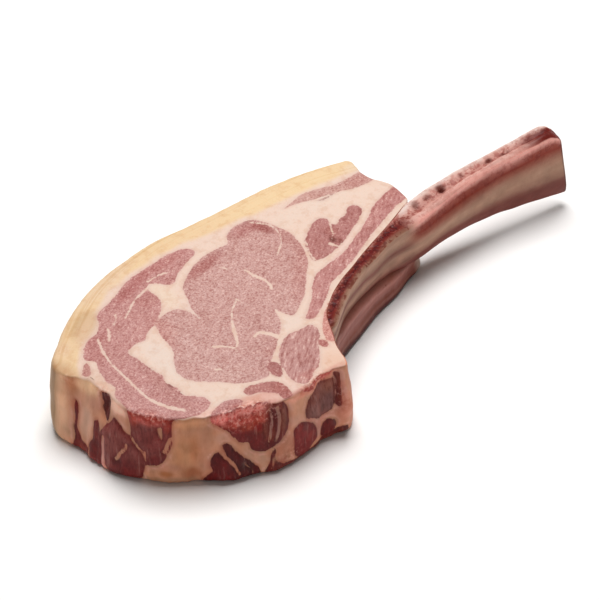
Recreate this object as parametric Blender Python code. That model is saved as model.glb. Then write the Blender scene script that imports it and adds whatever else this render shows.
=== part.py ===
"""Raw tomahawk rib steak: a thick slab of rib meat, cut across the muscle, with its back fat and
its whole rib bone, which is trimmed clean beyond the meat like a handle.

The steak lies on its lower cut face. +X runs along the steak towards the free end of the rib,
+Y towards the back fat and +Z up. The origin is under the middle of the whole steak.

Nodes: meat (the lean and the fat between its muscles), fat_cap (the layer of back fat along one
edge, through the whole thickness) and rib_bone. All sizes below are in millimetres.
"""

import bpy
import numpy as np

MM = 0.001

# Driving sizes.
THICKNESS = 46.0  # of the slab, between its two cut faces
FOOTPRINT_MIDDLE = np.array([5.6, 0.6])  # of the drawing below; it becomes the origin
GAP = 0.3  # air between two solids that touch

# The slab's outline at its upper cut face, anticlockwise seen from above, one list for each edge.
CHINE_EDGE = [  # where the backbone was sawn off
    (-163, 22), (-160.5, 15.5), (-156.5, 10), (-153.5, 1), (-152.5, -8), (-152.5, -16), (-151, -25),
    (-146.5, -33), (-137.5, -43), (-130, -48.5), (-122, -53.5), (-113, -57.5), (-105, -60),
    (-98, -62.5), (-92, -67), (-85, -69), (-75, -68), (-63, -66.5), (-54, -66.5), (-48.5, -67),
]
RIB_EDGE = [  # along the inside of the rib cage
    (-46, -64.5), (-44.5, -61), (-41, -55), (-36, -47.5), (-29, -40.5), (-21.5, -33.5), (-8, -26.5),
    (12, -18.5), (27, -13.5), (43, -9), (56, -3), (65, 1), (69, 3.5),
]
TAIL_EDGE = [(69.8, 7), (68.7, 13.5), (69.6, 20), (70.2, 26.5), (68, 32.5), (65, 38.5), (64.4, 46), (66, 53)]
FAT_EDGE = [  # the outside of the back fat
    (66.5, 57.5), (62.5, 60.5), (50, 64.5), (35, 67.5), (18, 69.7), (0, 70.6), (-20, 70.8), (-40, 71.3), (-60, 72.5),
    (-72, 72), (-85, 70), (-100, 67), (-115, 62), (-130, 54), (-143, 45), (-153, 36), (-160, 29),
]
POINTS_PER_SPAN = 3
CORNER_SOFTENING = 8
SLAB_CENTRE = np.array([-55.0, 10.0])  # every point of the outline can be seen from here

# The slab's wall from the foot up: how far in from the outline, and how high.
WALL_PROFILE = [(1.6, 0.0), (0.2, 1.4), (-0.8, 7.0), (-1.2, 17.0), (-1.2, 28.0), (-0.3, 40.0), (0.8, 44.8)]
RIM_INSET = 3.0  # where the rounded rim meets the upper face
SWELL = 1.5  # how much higher the upper face stands in its middle
FACE_RINGS = [0.82, 0.6, 0.36, 0.14]  # rings of the two cut faces, as shares of the outline's size

# Places where the wall leans out towards its foot: x, y, reach, and how far at the foot.
LEANS = [
    (-162.0, 24.0, 22.0, 4.0), (-157.0, 4.0, 9.0, 4.0), (-154.0, -12.0, 13.0, 8.0),
    (-113.0, -59.0, 12.0, 5.0), (-99.0, -65.0, 9.0, 4.5), (-90.0, -69.0, 9.0, 1.5), (-68.0, -67.0, 18.0, 2.8),
    (-42.0, -60.0, 13.0, 5.5),
    (45.0, -8.0, 30.0, 1.8), (5.0, -22.0, 25.0, 1.2), (71.0, 4.0, 9.0, 1.5),
]

# The seam between the back fat and the meat, from the backbone end to the tail.
FAT_SEAM = [
    (-185, 0), (-168, 3), (-158, 8.5), (-152, 17), (-144, 28), (-132, 38.5), (-118, 48), (-100, 55.5),
    (-80, 58.5), (-60, 59), (-40, 56.5), (-20, 55.5), (0, 52.5), (20, 51.5), (40, 50), (56, 49),
    (70, 48), (90, 47),
]
FAR_OUT = 120.0  # how far the fat's cutting block reaches past the seam

# The rib, station by station from its head inside the slab to its sawn free end:
# x and y of the middle of its top, thickness there, height of the top, y and height of its lower edge.
RIB_STATIONS = [
    (-36.5, -40.0, 6.0, 44.5, -40.0, 26.0),
    (-32.5, -37.0, 10.0, 46.0, -36.5, 22.0),
    (-24.0, -31.0, 9.8, 46.0, -30.0, 20.0),
    (-12.0, -23.3, 9.6, 46.0, -21.5, 19.0),
    (3.0, -16.2, 9.8, 46.0, -14.5, 18.0),
    (20.0, -10.6, 10.2, 46.0, -8.5, 16.0),
    (37.0, -5.4, 10.8, 46.0, -4.0, 14.0),
    (51.0, -2.6, 14.0, 46.0, -1.5, 11.5),
    (64.0, -1.4, 18.5, 46.8, 0.5, 10.0),
    (78.0, -0.6, 19.0, 48.0, 1.0, 11.5),
    (95.0, -0.7, 17.5, 50.0, -0.5, 14.0),
    (112.0, -1.2, 15.0, 53.0, -2.5, 15.0),
    (128.0, -1.0, 12.8, 56.0, -5.0, 14.5),
    (145.0, -3.0, 11.8, 57.0, -7.5, 12.5),
    (159.0, -5.0, 11.0, 57.0, -9.0, 10.0),
    (167.0, -6.3, 10.5, 56.5, -10.0, 9.0),
]
RIB_RINGS_PER_STATION = 3
RIB_SECTION_POINTS = 20
RIB_SIDE_FULLNESS = 0.72  # 1 is an ellipse, less is fuller
RIB_TOP_ROUNDING = 2.4  # depth of the rounding along the top's two edges
RIB_END_SLANT = 0.22  # the free end's lower corner reaches further than its top, by this per mm
RIB_SLANT_STARTS = 120.0  # x
RIB_END_ROUNDING = 1.6
GROOVE_FRONT = 9.0  # the groove's cutter reaches this far out of the slab's wall
GROOVE_TOP = 6.0  # and this far above its upper face


def smooth_curve(points, per_span, closed=False):
    """A centripetal Catmull-Rom curve: it passes through every point and makes no loops at close pairs."""
    points = np.asarray(points, float)
    if closed:
        padded = np.concatenate([points[-1:], points, points[:2]])
    else:
        padded = np.concatenate([2 * points[:1] - points[1:2], points, 2 * points[-1:] - points[-2:-1]])
    pieces = []
    for p0, p1, p2, p3 in zip(padded, padded[1:], padded[2:], padded[3:]):
        knots = np.cumsum([0.0] + [np.linalg.norm(b - a) ** 0.5 for a, b in ((p0, p1), (p1, p2), (p2, p3))])
        t0, t1, t2, t3 = knots
        t = np.linspace(t1, t2, per_span, endpoint=False)[:, None]
        a1 = ((t1 - t) * p0 + (t - t0) * p1) / (t1 - t0)
        a2 = ((t2 - t) * p1 + (t - t1) * p2) / (t2 - t1)
        a3 = ((t3 - t) * p2 + (t - t2) * p3) / (t3 - t2)
        b1 = ((t2 - t) * a1 + (t - t0) * a2) / (t2 - t0)
        b2 = ((t3 - t) * a2 + (t - t1) * a3) / (t3 - t1)
        pieces.append(((t2 - t) * b1 + (t - t1) * b2) / (t2 - t1))
    if not closed:
        pieces.append(points[-1:])
    return np.concatenate(pieces)


def side_normals(curve, closed):
    """Unit vectors to the right of the direction of travel: outwards on an anticlockwise outline."""
    if closed:
        along = np.roll(curve, -1, axis=0) - np.roll(curve, 1, axis=0)
    else:
        along = np.gradient(curve, axis=0)
    along /= np.linalg.norm(along, axis=1, keepdims=True)
    return np.stack([along[:, 1], -along[:, 0]], axis=1)


def softened(vectors, rounds):
    """Each vector averaged with its two neighbours, several times over.

    At a sharp corner the vectors pull in different ways and their average gets short, so a line moved
    inwards by them does not cross itself there.
    """
    for _ in range(rounds):
        vectors = (np.roll(vectors, 1, axis=0) + 2 * vectors + np.roll(vectors, -1, axis=0)) / 4
    return vectors


def material(name, colour, roughness):
    made = bpy.data.materials.new(name)
    made.use_nodes = True
    shader = made.node_tree.nodes["Principled BSDF"]
    shader.inputs["Base Color"].default_value = (*colour, 1.0)
    shader.inputs["Roughness"].default_value = roughness
    shader.inputs["Metallic"].default_value = 0.0
    made.diffuse_color = (*colour, 1.0)
    return made


def add_solid(name, rings, finish=None, poles=()):
    """A closed solid from rings of equal length, bottom or rear first, each anticlockwise.

    Its two ends are flat faces, or fans of triangles to the two poles where these are given.
    """
    count = len(rings[0])
    points = np.concatenate([*rings, *(np.array([pole], float) for pole in poles)])
    points[:, :2] -= FOOTPRINT_MIDDLE
    faces = []
    for ring in range(len(rings) - 1):
        low, high = ring * count, (ring + 1) * count
        for i in range(count):
            j = (i + 1) % count
            faces.append((low + i, low + j, high + j, high + i))
    first, last = range(count), range(len(rings) * count - count, len(rings) * count)
    if poles:
        first_pole, last_pole = len(points) - 2, len(points) - 1
        faces += [(first[i - 1], first_pole, first[i]) for i in range(count)]
        faces += [(last[i - 1], last[i], last_pole) for i in range(count)]
    else:
        faces += [tuple(reversed(first)), tuple(last)]
    mesh = bpy.data.meshes.new(name)
    mesh.from_pydata((points * MM).tolist(), [], faces)
    mesh.shade_smooth()
    mesh.set_sharp_from_angle(angle=np.radians(50))
    made = bpy.data.objects.new(name, mesh)
    bpy.context.scene.collection.objects.link(made)
    if finish is None:
        made.hide_render = True
        made.display_type = "WIRE"
    else:
        mesh.materials.append(finish)
    return made


def at_height(plan, height):
    return np.column_stack([plan, np.broadcast_to(height, len(plan))])


def slab_rings():
    """The whole slab: the wall's profile carried round the outline, then rings that shrink to the middle."""
    outline = smooth_curve(CHINE_EDGE + RIB_EDGE + TAIL_EDGE + FAT_EDGE, POINTS_PER_SPAN, closed=True)
    outwards = softened(side_normals(outline, closed=True), CORNER_SOFTENING)
    lean = np.zeros(len(outline))
    for x, y, reach, amount in LEANS:
        lean += amount * np.exp(-(((outline - (x, y)) / reach) ** 2).sum(axis=1))
    wall = []
    for inset, height in WALL_PROFILE:
        out = lean * (1 - height / THICKNESS) - inset
        wall.append(at_height(outline + outwards * out[:, None], height))
    rim = outline - outwards * RIM_INSET
    foot = wall[0][:, :2]
    lower = [at_height(SLAB_CENTRE + (foot - SLAB_CENTRE) * share, 0.0) for share in FACE_RINGS[::-1]]
    upper = [at_height(rim, THICKNESS)]
    for share in FACE_RINGS:
        rise = SWELL * (1 - share**2)
        upper.append(at_height(SLAB_CENTRE + (rim - SLAB_CENTRE) * share, THICKNESS + rise))
    return lower + wall + upper


def fat_block_rings(shift):
    """A block whose one side is the seam, moved outwards by shift, and which holds all of the back fat."""
    seam = smooth_curve(FAT_SEAM, POINTS_PER_SPAN)
    seam = seam - side_normals(seam, closed=False) * shift
    outside = np.array([(seam[-1, 0], seam[-1, 1] + FAR_OUT), (seam[0, 0], seam[0, 1] + FAR_OUT)])
    plan = np.concatenate([seam, outside])
    return [at_height(plan, -THICKNESS), at_height(plan, 2 * THICKNESS)]


def rib_rings(grow=0.0, front=0.0, above=0.0):
    """The rib: a section, flat on top and tapering to a round lower edge, carried along the stations.

    With a, the angle round the section, across is half the thickness times cos(a) to a power under 1,
    which makes the sides full, and the height falls with sin(a): quickly to the lower edge where sin(a) is
    negative, and by the rounding's depth alone where it is positive.
    """
    stations = smooth_curve(RIB_STATIONS, RIB_RINGS_PER_STATION)
    across_way = -side_normals(stations[:, :2], closed=False)
    angle = np.arange(RIB_SECTION_POINTS) / RIB_SECTION_POINTS * 2 * np.pi
    cos, sin = np.cos(angle), np.sin(angle)
    full_cos = np.sign(cos) * np.abs(cos) ** RIB_SIDE_FULLNESS
    rings = []
    for (x, y, thick, top, low_y, low), sideways in zip(stations, across_way):
        shoulder = top - RIB_TOP_ROUNDING
        across = full_cos * (thick / 2 + grow) - front * (full_cos < -0.01)
        rise = np.where(sin > 0, (RIB_TOP_ROUNDING + grow + above) * np.abs(sin) ** 0.6, 0.0)
        depth = np.where(sin < 0, -sin, 0.0)
        height = shoulder + rise - depth * (shoulder - low + grow)
        across = across + depth * (low_y - y)
        slant = RIB_END_SLANT * np.clip((x - RIB_SLANT_STARTS) / (stations[-1, 0] - RIB_SLANT_STARTS), 0, 1)
        along = np.array([sideways[1], -sideways[0]])
        plan = np.array([x, y]) + across[:, None] * sideways + (slant * (top - height))[:, None] * along
        # The section's angle turns from the back face over the top, clockwise seen along the rib.
        rings.append(at_height(plan, height))
    return rings


def rounded_end(rings):
    """Adds a last, smaller ring a little further on, so that the sawn end has a rounded edge."""
    last, before = rings[-1], rings[-2]
    on = (last - before).mean(axis=0)
    on /= np.linalg.norm(on)
    middle = last.mean(axis=0)
    size = np.linalg.norm(last - middle, axis=1, keepdims=True)
    smaller = last - (last - middle) / size * RIB_END_ROUNDING
    return rings + [smaller + on * RIB_END_ROUNDING]


def cut(target, cutter, operation, name):
    step = target.modifiers.new(name, "BOOLEAN")
    step.operation = operation
    step.solver = "EXACT"
    step.object = cutter


def main():
    for old in list(bpy.data.objects):
        bpy.data.objects.remove(old)

    lean = material("lean_meat", (0.45, 0.10, 0.09), 0.45)
    fat = material("back_fat", (0.85, 0.66, 0.42), 0.5)
    bone = material("rib_bone", (0.60, 0.38, 0.28), 0.55)

    poles = [(*SLAB_CENTRE, 0.0), (*SLAB_CENTRE, THICKNESS + SWELL)]
    meat = add_solid("meat", slab_rings(), lean, poles)
    fat_cap = add_solid("fat_cap", slab_rings(), fat, poles)
    add_solid("rib_bone", rounded_end(rib_rings()), bone)

    meat_side = add_solid("cutter_meat_side", fat_block_rings(-GAP / 2))
    fat_side = add_solid("cutter_fat_side", fat_block_rings(GAP / 2))
    groove = add_solid("cutter_rib_groove", rib_rings(GAP, GROOVE_FRONT, GROOVE_TOP))

    cut(meat, meat_side, "DIFFERENCE", "leave_out_back_fat")
    cut(meat, groove, "DIFFERENCE", "groove_for_rib")
    cut(fat_cap, fat_side, "INTERSECT", "keep_back_fat")


main()
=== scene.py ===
# %% [markdown]
# # A raw tomahawk rib steak
#
# A tomahawk is a steak cut one whole rib wide, with the rib left long and scraped clean like a handle.
# It lies on its lower cut face. This script gives it its looks: the muscles, the fat between them,
# the yellow back fat and the damp sawn bone. Lengths here are in millimetres on a drawing of the steak
# seen from above; one function turns them into Blender's metres.

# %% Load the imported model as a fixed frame
import bpy
import numpy as np
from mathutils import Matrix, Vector


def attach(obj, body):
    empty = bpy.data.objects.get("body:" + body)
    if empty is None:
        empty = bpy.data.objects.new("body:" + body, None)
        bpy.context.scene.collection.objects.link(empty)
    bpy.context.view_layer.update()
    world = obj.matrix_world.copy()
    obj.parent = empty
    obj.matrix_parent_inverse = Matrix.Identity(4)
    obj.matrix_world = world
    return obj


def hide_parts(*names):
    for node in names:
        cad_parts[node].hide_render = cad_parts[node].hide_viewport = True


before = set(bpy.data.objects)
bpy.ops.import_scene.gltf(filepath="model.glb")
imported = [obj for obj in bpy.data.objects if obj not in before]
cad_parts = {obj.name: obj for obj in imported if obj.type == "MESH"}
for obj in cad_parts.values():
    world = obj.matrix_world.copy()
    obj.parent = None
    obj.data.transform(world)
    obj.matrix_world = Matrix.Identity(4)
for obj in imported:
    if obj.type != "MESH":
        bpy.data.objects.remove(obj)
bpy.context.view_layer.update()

# %% [markdown]
# ## Units and the drawing's origin
#
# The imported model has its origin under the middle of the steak. The drawing's own zero is a little
# off, so every point is shifted by `MIDDLE` on its way into the mesh.

# %% From drawing to mesh
MM = 0.001
MIDDLE = np.array([5.6, 0.6, 0.0])
THICKNESS = 46.0


def to_metres(points):
    """Drawing millimetres to metres in the frame: the origin's shift, then the scale."""
    return (np.asarray(points, float) - MIDDLE) * MM


# %% [markdown]
# ## Camera
#
# The camera stands 95 cm away and looks down at 42 degrees, from the side of the bone's inner
# curve. A 100 mm lens flattens the perspective, as in a product shot.

# %% Place the camera
AIM = Vector((-0.0070, 0.0224, 0.0))
AZIMUTH, ELEVATION, DISTANCE = np.radians(-40.0), np.radians(42.0), 0.95
back = Vector((
    np.sin(AZIMUTH) * np.cos(ELEVATION),
    -np.cos(AZIMUTH) * np.cos(ELEVATION),
    np.sin(ELEVATION),
))
lens = bpy.data.cameras.new("camera")
lens.lens, lens.sensor_width, lens.clip_start, lens.clip_end = 100.0, 36.0, 0.05, 20.0
camera = bpy.data.objects.new("camera", lens)
camera.location = AIM + back * DISTANCE
camera.rotation_euler = back.to_track_quat("Z", "Y").to_euler()
bpy.context.scene.collection.objects.link(camera)
bpy.context.scene.camera = camera
print("camera at", tuple(round(c, 3) for c in camera.location))

# %% [markdown]
# ## Curves
#
# Muscles, bone and outline are drawn with a few points each. A centripetal Catmull-Rom curve passes
# through every point and makes no loops where two of them are close, which suits organic outlines.


# %% Smooth curves
def smooth_curve(points, per_span=8, closed=False):
    """Centripetal Catmull-Rom curve.

    Each knot lies the square root of the chord further on than the last, and each stretch is blended
    from straight lines through four neighbouring points, three times over (Barry and Goldman's way).
    """
    points = np.asarray(points, float)
    if closed:
        p0, p1, p2, p3 = (np.roll(points, k, axis=0)[:, None] for k in (1, 0, -1, -2))
    else:
        padded = np.concatenate([2 * points[:1] - points[1:2], points, 2 * points[-1:] - points[-2:-1]])
        p0, p1, p2, p3 = (padded[k : len(padded) - 3 + k][:, None] for k in range(4))

    def chord(a, b):
        return np.sqrt(np.linalg.norm(b - a, axis=2, keepdims=True))

    t1 = chord(p0, p1)
    t2 = t1 + chord(p1, p2)
    t3 = t2 + chord(p2, p3)
    t = t1 + (t2 - t1) * np.linspace(0, 1, per_span, endpoint=False)[None, :, None]
    a1 = ((t1 - t) * p0 + t * p1) / t1
    a2 = ((t2 - t) * p1 + (t - t1) * p2) / (t2 - t1)
    a3 = ((t3 - t) * p2 + (t - t2) * p3) / (t3 - t2)
    b1 = ((t2 - t) * a1 + t * a2) / t2
    b2 = ((t3 - t) * a2 + (t - t1) * a3) / (t3 - t1)
    curve = (((t2 - t) * b1 + (t - t1) * b2) / (t2 - t1)).reshape(-1, points.shape[1])
    return curve if closed else np.concatenate([curve, points[-1:]])


def smooth_step(low, high, value):
    """0 below low, 1 above high, and 3t^2 - 2t^3 between them."""
    t = np.clip((value - low) / (high - low), 0, 1)
    return t * t * (3 - 2 * t)


def lattice_noise(points, size, seed):
    """Smooth random values from -1 to 1 that change over about `size` millimetres.

    Every corner of a cubic grid has a random number, found from its whole-number place with a hash, and
    the eight corners round a point are blended with 3t^2 - 2t^3 along each axis.
    """
    table = np.random.default_rng(seed).uniform(-1, 1, 4096)
    scaled = np.asarray(points, float) / size
    cell = np.floor(scaled).astype(np.int64)
    ease = scaled - cell
    ease = ease * ease * (3 - 2 * ease)
    total = 0.0
    for corner in np.ndindex(2, 2, 2):
        place = cell + corner
        key = (place[..., 0] * 73856093) ^ (place[..., 1] * 19349663) ^ (place[..., 2] * 83492791)
        weight = np.prod(np.where(corner, ease, 1 - ease), axis=-1)
        total = total + weight * table[key & 4095]
    return total


# %% [markdown]
# ## The slab's outline
#
# The outline has four sides: the backbone end, where the saw and the knife went through, the rib side,
# the tail, and the back fat. A second line runs behind the rib: the meat's upper face ends there,
# and further down the meat comes forward again under the bone.

# %% Draw the outline
CHINE_SIDE = [
    (-163, 22), (-160.5, 15.5), (-156.5, 10), (-153.5, 1), (-152.5, -8), (-152.5, -16), (-151, -25),
    (-146.5, -33), (-137.5, -43), (-130, -48.5), (-122, -53.5), (-113, -57.5), (-105, -60),
    (-98, -62.5), (-92, -67), (-85, -69), (-75, -68), (-63, -66.5), (-54, -67),
]
RIB_SIDE = [
    (-47.3, -68.6), (-44.9, -65.2), (-43.4, -61.5), (-40.6, -55.2), (-36, -47.5), (-29, -39.9),
    (-21.5, -32.6), (-14.5, -28.8), (-8, -25.4), (2, -21.2), (12, -17.3), (19.5, -14.5), (27, -12.3),
    (43, -8.3), (56, -3), (65, 1), (69, 3.5),
]
BEHIND_RIB = [
    (-47.3, -68.6), (-44.9, -65.2), (-43.8, -60.9), (-41.6, -54.2), (-37.2, -46.5), (-34.0, -39.8),
    (-29.5, -32.8), (-23, -27.6), (-16.2, -23.0), (-5.5, -17.8), (5.2, -13.9), (15, -10.0), (25, -6.4),
    (40.5, -1.2), (54.5, 4.0), (61.5, 6.8), (65.5, 8.6),
]
TAIL_SIDE = [
    (69.8, 7), (68.7, 13.5), (69.6, 20), (70.2, 26.5), (68, 32.5), (65, 38.5), (64.4, 46), (66, 53),
    (66.8, 57),
]
ABOVE_TAIL = [(68.2, 11.2)] + TAIL_SIDE[1:]
FAT_SIDE = [
    (65.2, 59.6), (61, 61.2), (50, 64.5), (35, 67.5), (18, 69.7), (0, 70.6), (-20, 70.8), (-40, 71.3),
    (-60, 72.5), (-72, 72), (-85, 70), (-100, 67), (-115, 62), (-130, 54), (-143, 45), (-153, 36), (-160, 29),
]
FAT_STRETCH, FAT_LIFT = 1.004, 0.7  # the back fat's line, a little longer and further out than drawn
ALONG, ACROSS = 262, 166  # faces of the upper face along the fat and along the backbone end

side_starts = np.cumsum([0, len(CHINE_SIDE), len(RIB_SIDE), len(TAIL_SIDE), len(FAT_SIDE)])
side_counts = [ACROSS, ALONG, ACROSS, ALONG]
FINE = 24
FAT_SIDE = [(x * FAT_STRETCH, y + FAT_LIFT) for x, y in FAT_SIDE]
outer_fine = smooth_curve(CHINE_SIDE + RIB_SIDE + TAIL_SIDE + FAT_SIDE, FINE, closed=True)
inner_fine = smooth_curve(CHINE_SIDE + BEHIND_RIB + ABOVE_TAIL + FAT_SIDE, FINE, closed=True)


def even_side(start, end, count):
    """Points of both lines on one side, spaced evenly by the mean of the two lengths."""
    index = np.arange(start * FINE, end * FINE + 1) % len(outer_fine)
    lines = np.hstack([outer_fine[index], inner_fine[index]])
    steps = np.diff(lines, axis=0).reshape(-1, 2, 2)
    length = np.concatenate([[0], np.cumsum(np.linalg.norm(steps, axis=2).mean(axis=1))])
    wanted = np.linspace(0, length[-1], count, endpoint=False)
    return np.column_stack([np.interp(wanted, length, column) for column in lines.T]), length[-1] / count


columns, spacings = zip(*(even_side(*job) for job in zip(side_starts, side_starts[1:], side_counts)))
columns = np.concatenate(columns)
outer, inner = columns[:, :2], columns[:, 2:]
side_of_column = np.repeat(np.arange(4), side_counts)
print("columns round the slab:", len(outer), "spaced", [round(float(s), 2) for s in spacings], "mm")


# %% [markdown]
# ## The slab's surface
#
# The upper face is a Coons patch: it blends each pair of opposite sides straight across, adds the two
# blends and takes away the blend of the corners, so it meets all four sides. The wall is a profile
# carried round the outline. The lower face is a coarser patch, joined to the wall by a strip of triangles.


# %% The wall's profile
def blurred(values, reach):
    """Values round the outline, averaged with a bell-shaped weight of the given reach in columns."""
    offsets = np.arange(-3 * reach, 3 * reach + 1)
    weights = np.exp(-0.5 * (offsets / reach) ** 2)
    weights /= weights.sum()
    return sum(w * np.roll(values, k, axis=0) for k, w in zip(offsets, weights))


def outward(curve, reach=3):
    """Unit vectors to the right of travel, softened so that they shrink at sharp corners."""
    along = np.roll(curve, -1, axis=0) - np.roll(curve, 1, axis=0)
    along /= np.linalg.norm(along, axis=1, keepdims=True)
    return blurred(np.column_stack([along[:, 1], -along[:, 0]]), reach)


LEANS = [
    (-162.0, 24.0, 22.0, 4.0), (-157.0, 4.0, 11.0, 6.0), (-154.0, -12.0, 14.0, 8.6),
    (-141.0, -38.0, 14.0, 2.0), (-113.0, -59.0, 12.0, 5.0), (-99.0, -65.0, 9.0, 4.5),
    (-90.0, -69.0, 9.0, 1.5), (-68.0, -67.0, 18.0, 2.8), (-42.0, -60.0, 13.0, 5.5),
    (45.0, -8.0, 30.0, 2.4), (5.0, -21.0, 25.0, 2.3), (69.0, 3.0, 12.0, 3.0),
]
RIM_RADIUS = np.array([1.7, 0.6, 1.8, 2.6])  # backbone end, rib side, tail, back fat
rim = blurred(RIM_RADIUS[side_of_column], 9)
away = outward(outer)
edge_place = np.column_stack([outer, np.zeros(len(outer))])
waver = 0.55 * lattice_noise(edge_place, 5, 31) + 0.35 * lattice_noise(edge_place, 2.3, 32)
waver = waver * blurred(np.where(side_of_column == 0, 1.0, 0.25) * (side_of_column != 1), 5)
rim = rim * (1 + 0.5 * lattice_noise(edge_place, 6, 33) * blurred(1.0 * (side_of_column == 0), 5))
outer, inner = outer + away * waver[:, None], inner + away * waver[:, None]
lean_out = sum(a * np.exp(-(((outer - (x, y)) / r) ** 2).sum(axis=1)) for x, y, r, a in LEANS)
LEDGE_X = [-40, -24, 3, 20, 37, 51, 64, 72]
LEDGE_Z = [26, 21, 19, 17, 15, 12.5, 11, 11]
ledge = np.interp(inner[:, 0], LEDGE_X, LEDGE_Z)
in_middle = blurred(1.0 * (side_of_column == 1), 5) * smooth_step(-46, -30, inner[:, 0])  # under the rib
BULGE_Z = [0.0, 1.4, 4.0, 9.0, 17.0, 28.0, 40.0, 46.0]
BULGE_OUT = [-1.8, -0.2, 0.5, 0.9, 1.2, 1.2, 0.3, 0.0]


def wall_row(height_share, rim_angle):
    """One row of the wall: a share of the height below the rim, or an angle round the rim's quarter turn."""
    z = (THICKNESS - rim) * height_share + rim * np.sin(rim_angle) * (height_share == 1)
    bulge = np.interp(z, BULGE_Z, BULGE_OUT) * (height_share < 1)
    out = -rim * (1 - np.cos(rim_angle)) + np.where(bulge > 0, bulge * (1 - 0.7 * in_middle), bulge)
    out = out + lean_out * (1 - z / THICKNESS) ** (1 + in_middle)
    fold = 0.35 * np.exp(-(((z - ledge) / 2.0) ** 2)) - 0.5 * np.exp(-(((z - 0.6 * ledge) / 1.8) ** 2))
    out = out + in_middle * fold
    forward = smooth_step(0, 1, (ledge + 6 - z) / 6.0)[:, None]
    plan = inner + (outer - inner) * forward + away * out[:, None]
    return np.column_stack([plan, z])


rim_turns = np.radians([90, 74, 58, 42, 26, 10])
shares_down = np.concatenate([np.linspace(0.985, 0.05, 34), [0.03, 0.012, 0.0]])
wall = np.array([wall_row(1.0, a) for a in rim_turns] + [wall_row(share, 0.0) for share in shares_down])
row_up = np.concatenate([np.sin(rim_turns), np.zeros(len(shares_down))])  # how far each row faces up
print("wall grid:", wall.shape)


# %% [markdown]
# ## The two cut faces
#
# A cut face has no edges of its own, so it has to be filled in from its border. A grid whose border is the
# outline bends the muscles' edges less than a fan of triangles would, and its points are evenly spread.

# %% The two cut faces
def coons_patch(ring, along, across):
    """The patch inside a ring of columns that runs down one side, along, up the far side and back."""
    ring = np.concatenate([ring, ring[:1]])
    a, b, c, d = 0, across, across + along, 2 * across + along
    left, near, right, far = ring[a : b + 1][::-1], ring[b : c + 1], ring[c : d + 1], ring[d:][::-1]
    u = np.linspace(0, 1, along + 1)[:, None, None]
    v = np.linspace(0, 1, across + 1)[None, :, None]
    straight = (1 - v) * near[:, None] + v * far[:, None] + (1 - u) * left[None] + u * right[None]
    corners = (1 - u) * ((1 - v) * near[0] + v * far[0]) + u * ((1 - v) * near[-1] + v * far[-1])
    grid = straight - corners
    for _ in range(60):  # each inner point moves to the mean of its four neighbours, which undoes kinks
        grid[1:-1, 1:-1] = (grid[2:, 1:-1] + grid[:-2, 1:-1] + grid[1:-1, 2:] + grid[1:-1, :-2]) / 4
    return grid


def ring_of_grid(along, across):
    """Indices of a patch's border points in the ring's order, for points numbered along-first."""
    number = np.arange((along + 1) * (across + 1)).reshape(along + 1, across + 1)
    return np.concatenate([number[0, :0:-1], number[:-1, 0], number[-1, :-1], number[:0:-1, -1]])


def grid_faces(number, flip=False):
    """Four-sided faces of a grid of point numbers."""
    corners = [number[:-1, :-1], number[1:, :-1], number[1:, 1:], number[:-1, 1:]]
    return np.stack(corners[::-1] if flip else corners, axis=-1).reshape(-1, 4)


upper = coons_patch(wall[0, :, :2], ALONG, ACROSS)
lower = coons_patch(wall[-1, ::2, :2] - away[::2], ALONG // 2, ACROSS // 2)
turn = np.cross(np.diff(upper[:, :-1], axis=0), np.diff(upper[:-1], axis=1))
print("upper face grid:", upper.shape, "smallest cell", round(float(turn.min()), 3), "mm2")

# %% [markdown]
# ## Joining the faces and the wall
#
# The wall's rows share their first ring of points with the upper face, so there is no seam at the rim. The
# lower face has half as many points each way. A strip of triangles, three for each of its edges, joins it
# to the wall's foot.

# %% Join the faces and the wall
N = len(outer)
upper_points = np.column_stack([upper.reshape(-1, 2), np.full(upper[..., 0].size, THICKNESS)])
lower_points = np.column_stack([lower.reshape(-1, 2), np.zeros(lower[..., 0].size)])
first_wall, first_lower = len(upper_points), len(upper_points) + (len(wall) - 1) * N
flesh_points = np.concatenate([upper_points, wall[1:].reshape(-1, 3), lower_points])
wall_rows = first_wall + np.arange((len(wall) - 1) * N).reshape(-1, N)
wall_numbers = np.vstack([ring_of_grid(ALONG, ACROSS), wall_rows])
wrapped = np.hstack([wall_numbers, wall_numbers[:, :1]])
lower_numbers = first_lower + np.arange(len(lower_points)).reshape(lower.shape[:2])
lower_ring = first_lower + ring_of_grid(ALONG // 2, ACROSS // 2)
foot = wall_numbers[-1]
fine_a, fine_b, fine_c = foot[::2], foot[1::2], np.roll(foot[::2], -1)
coarse_a, coarse_b = lower_ring, np.roll(lower_ring, -1)
print("points of the slab:", len(flesh_points))

# %% [markdown]
# ## The muscles on the cut face
#
# A rib steak shows a big round eye muscle, a crescent of cap muscle round its outer end, and small
# muscles by the rib and the tail, all set in pale fat. Each muscle is one closed curve. For every point
# of the surface the signed distance to the nearest muscle's edge is kept, in millimetres and positive
# inside the lean, because a material can turn such a distance into a crisp, slightly ragged edge.

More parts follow.
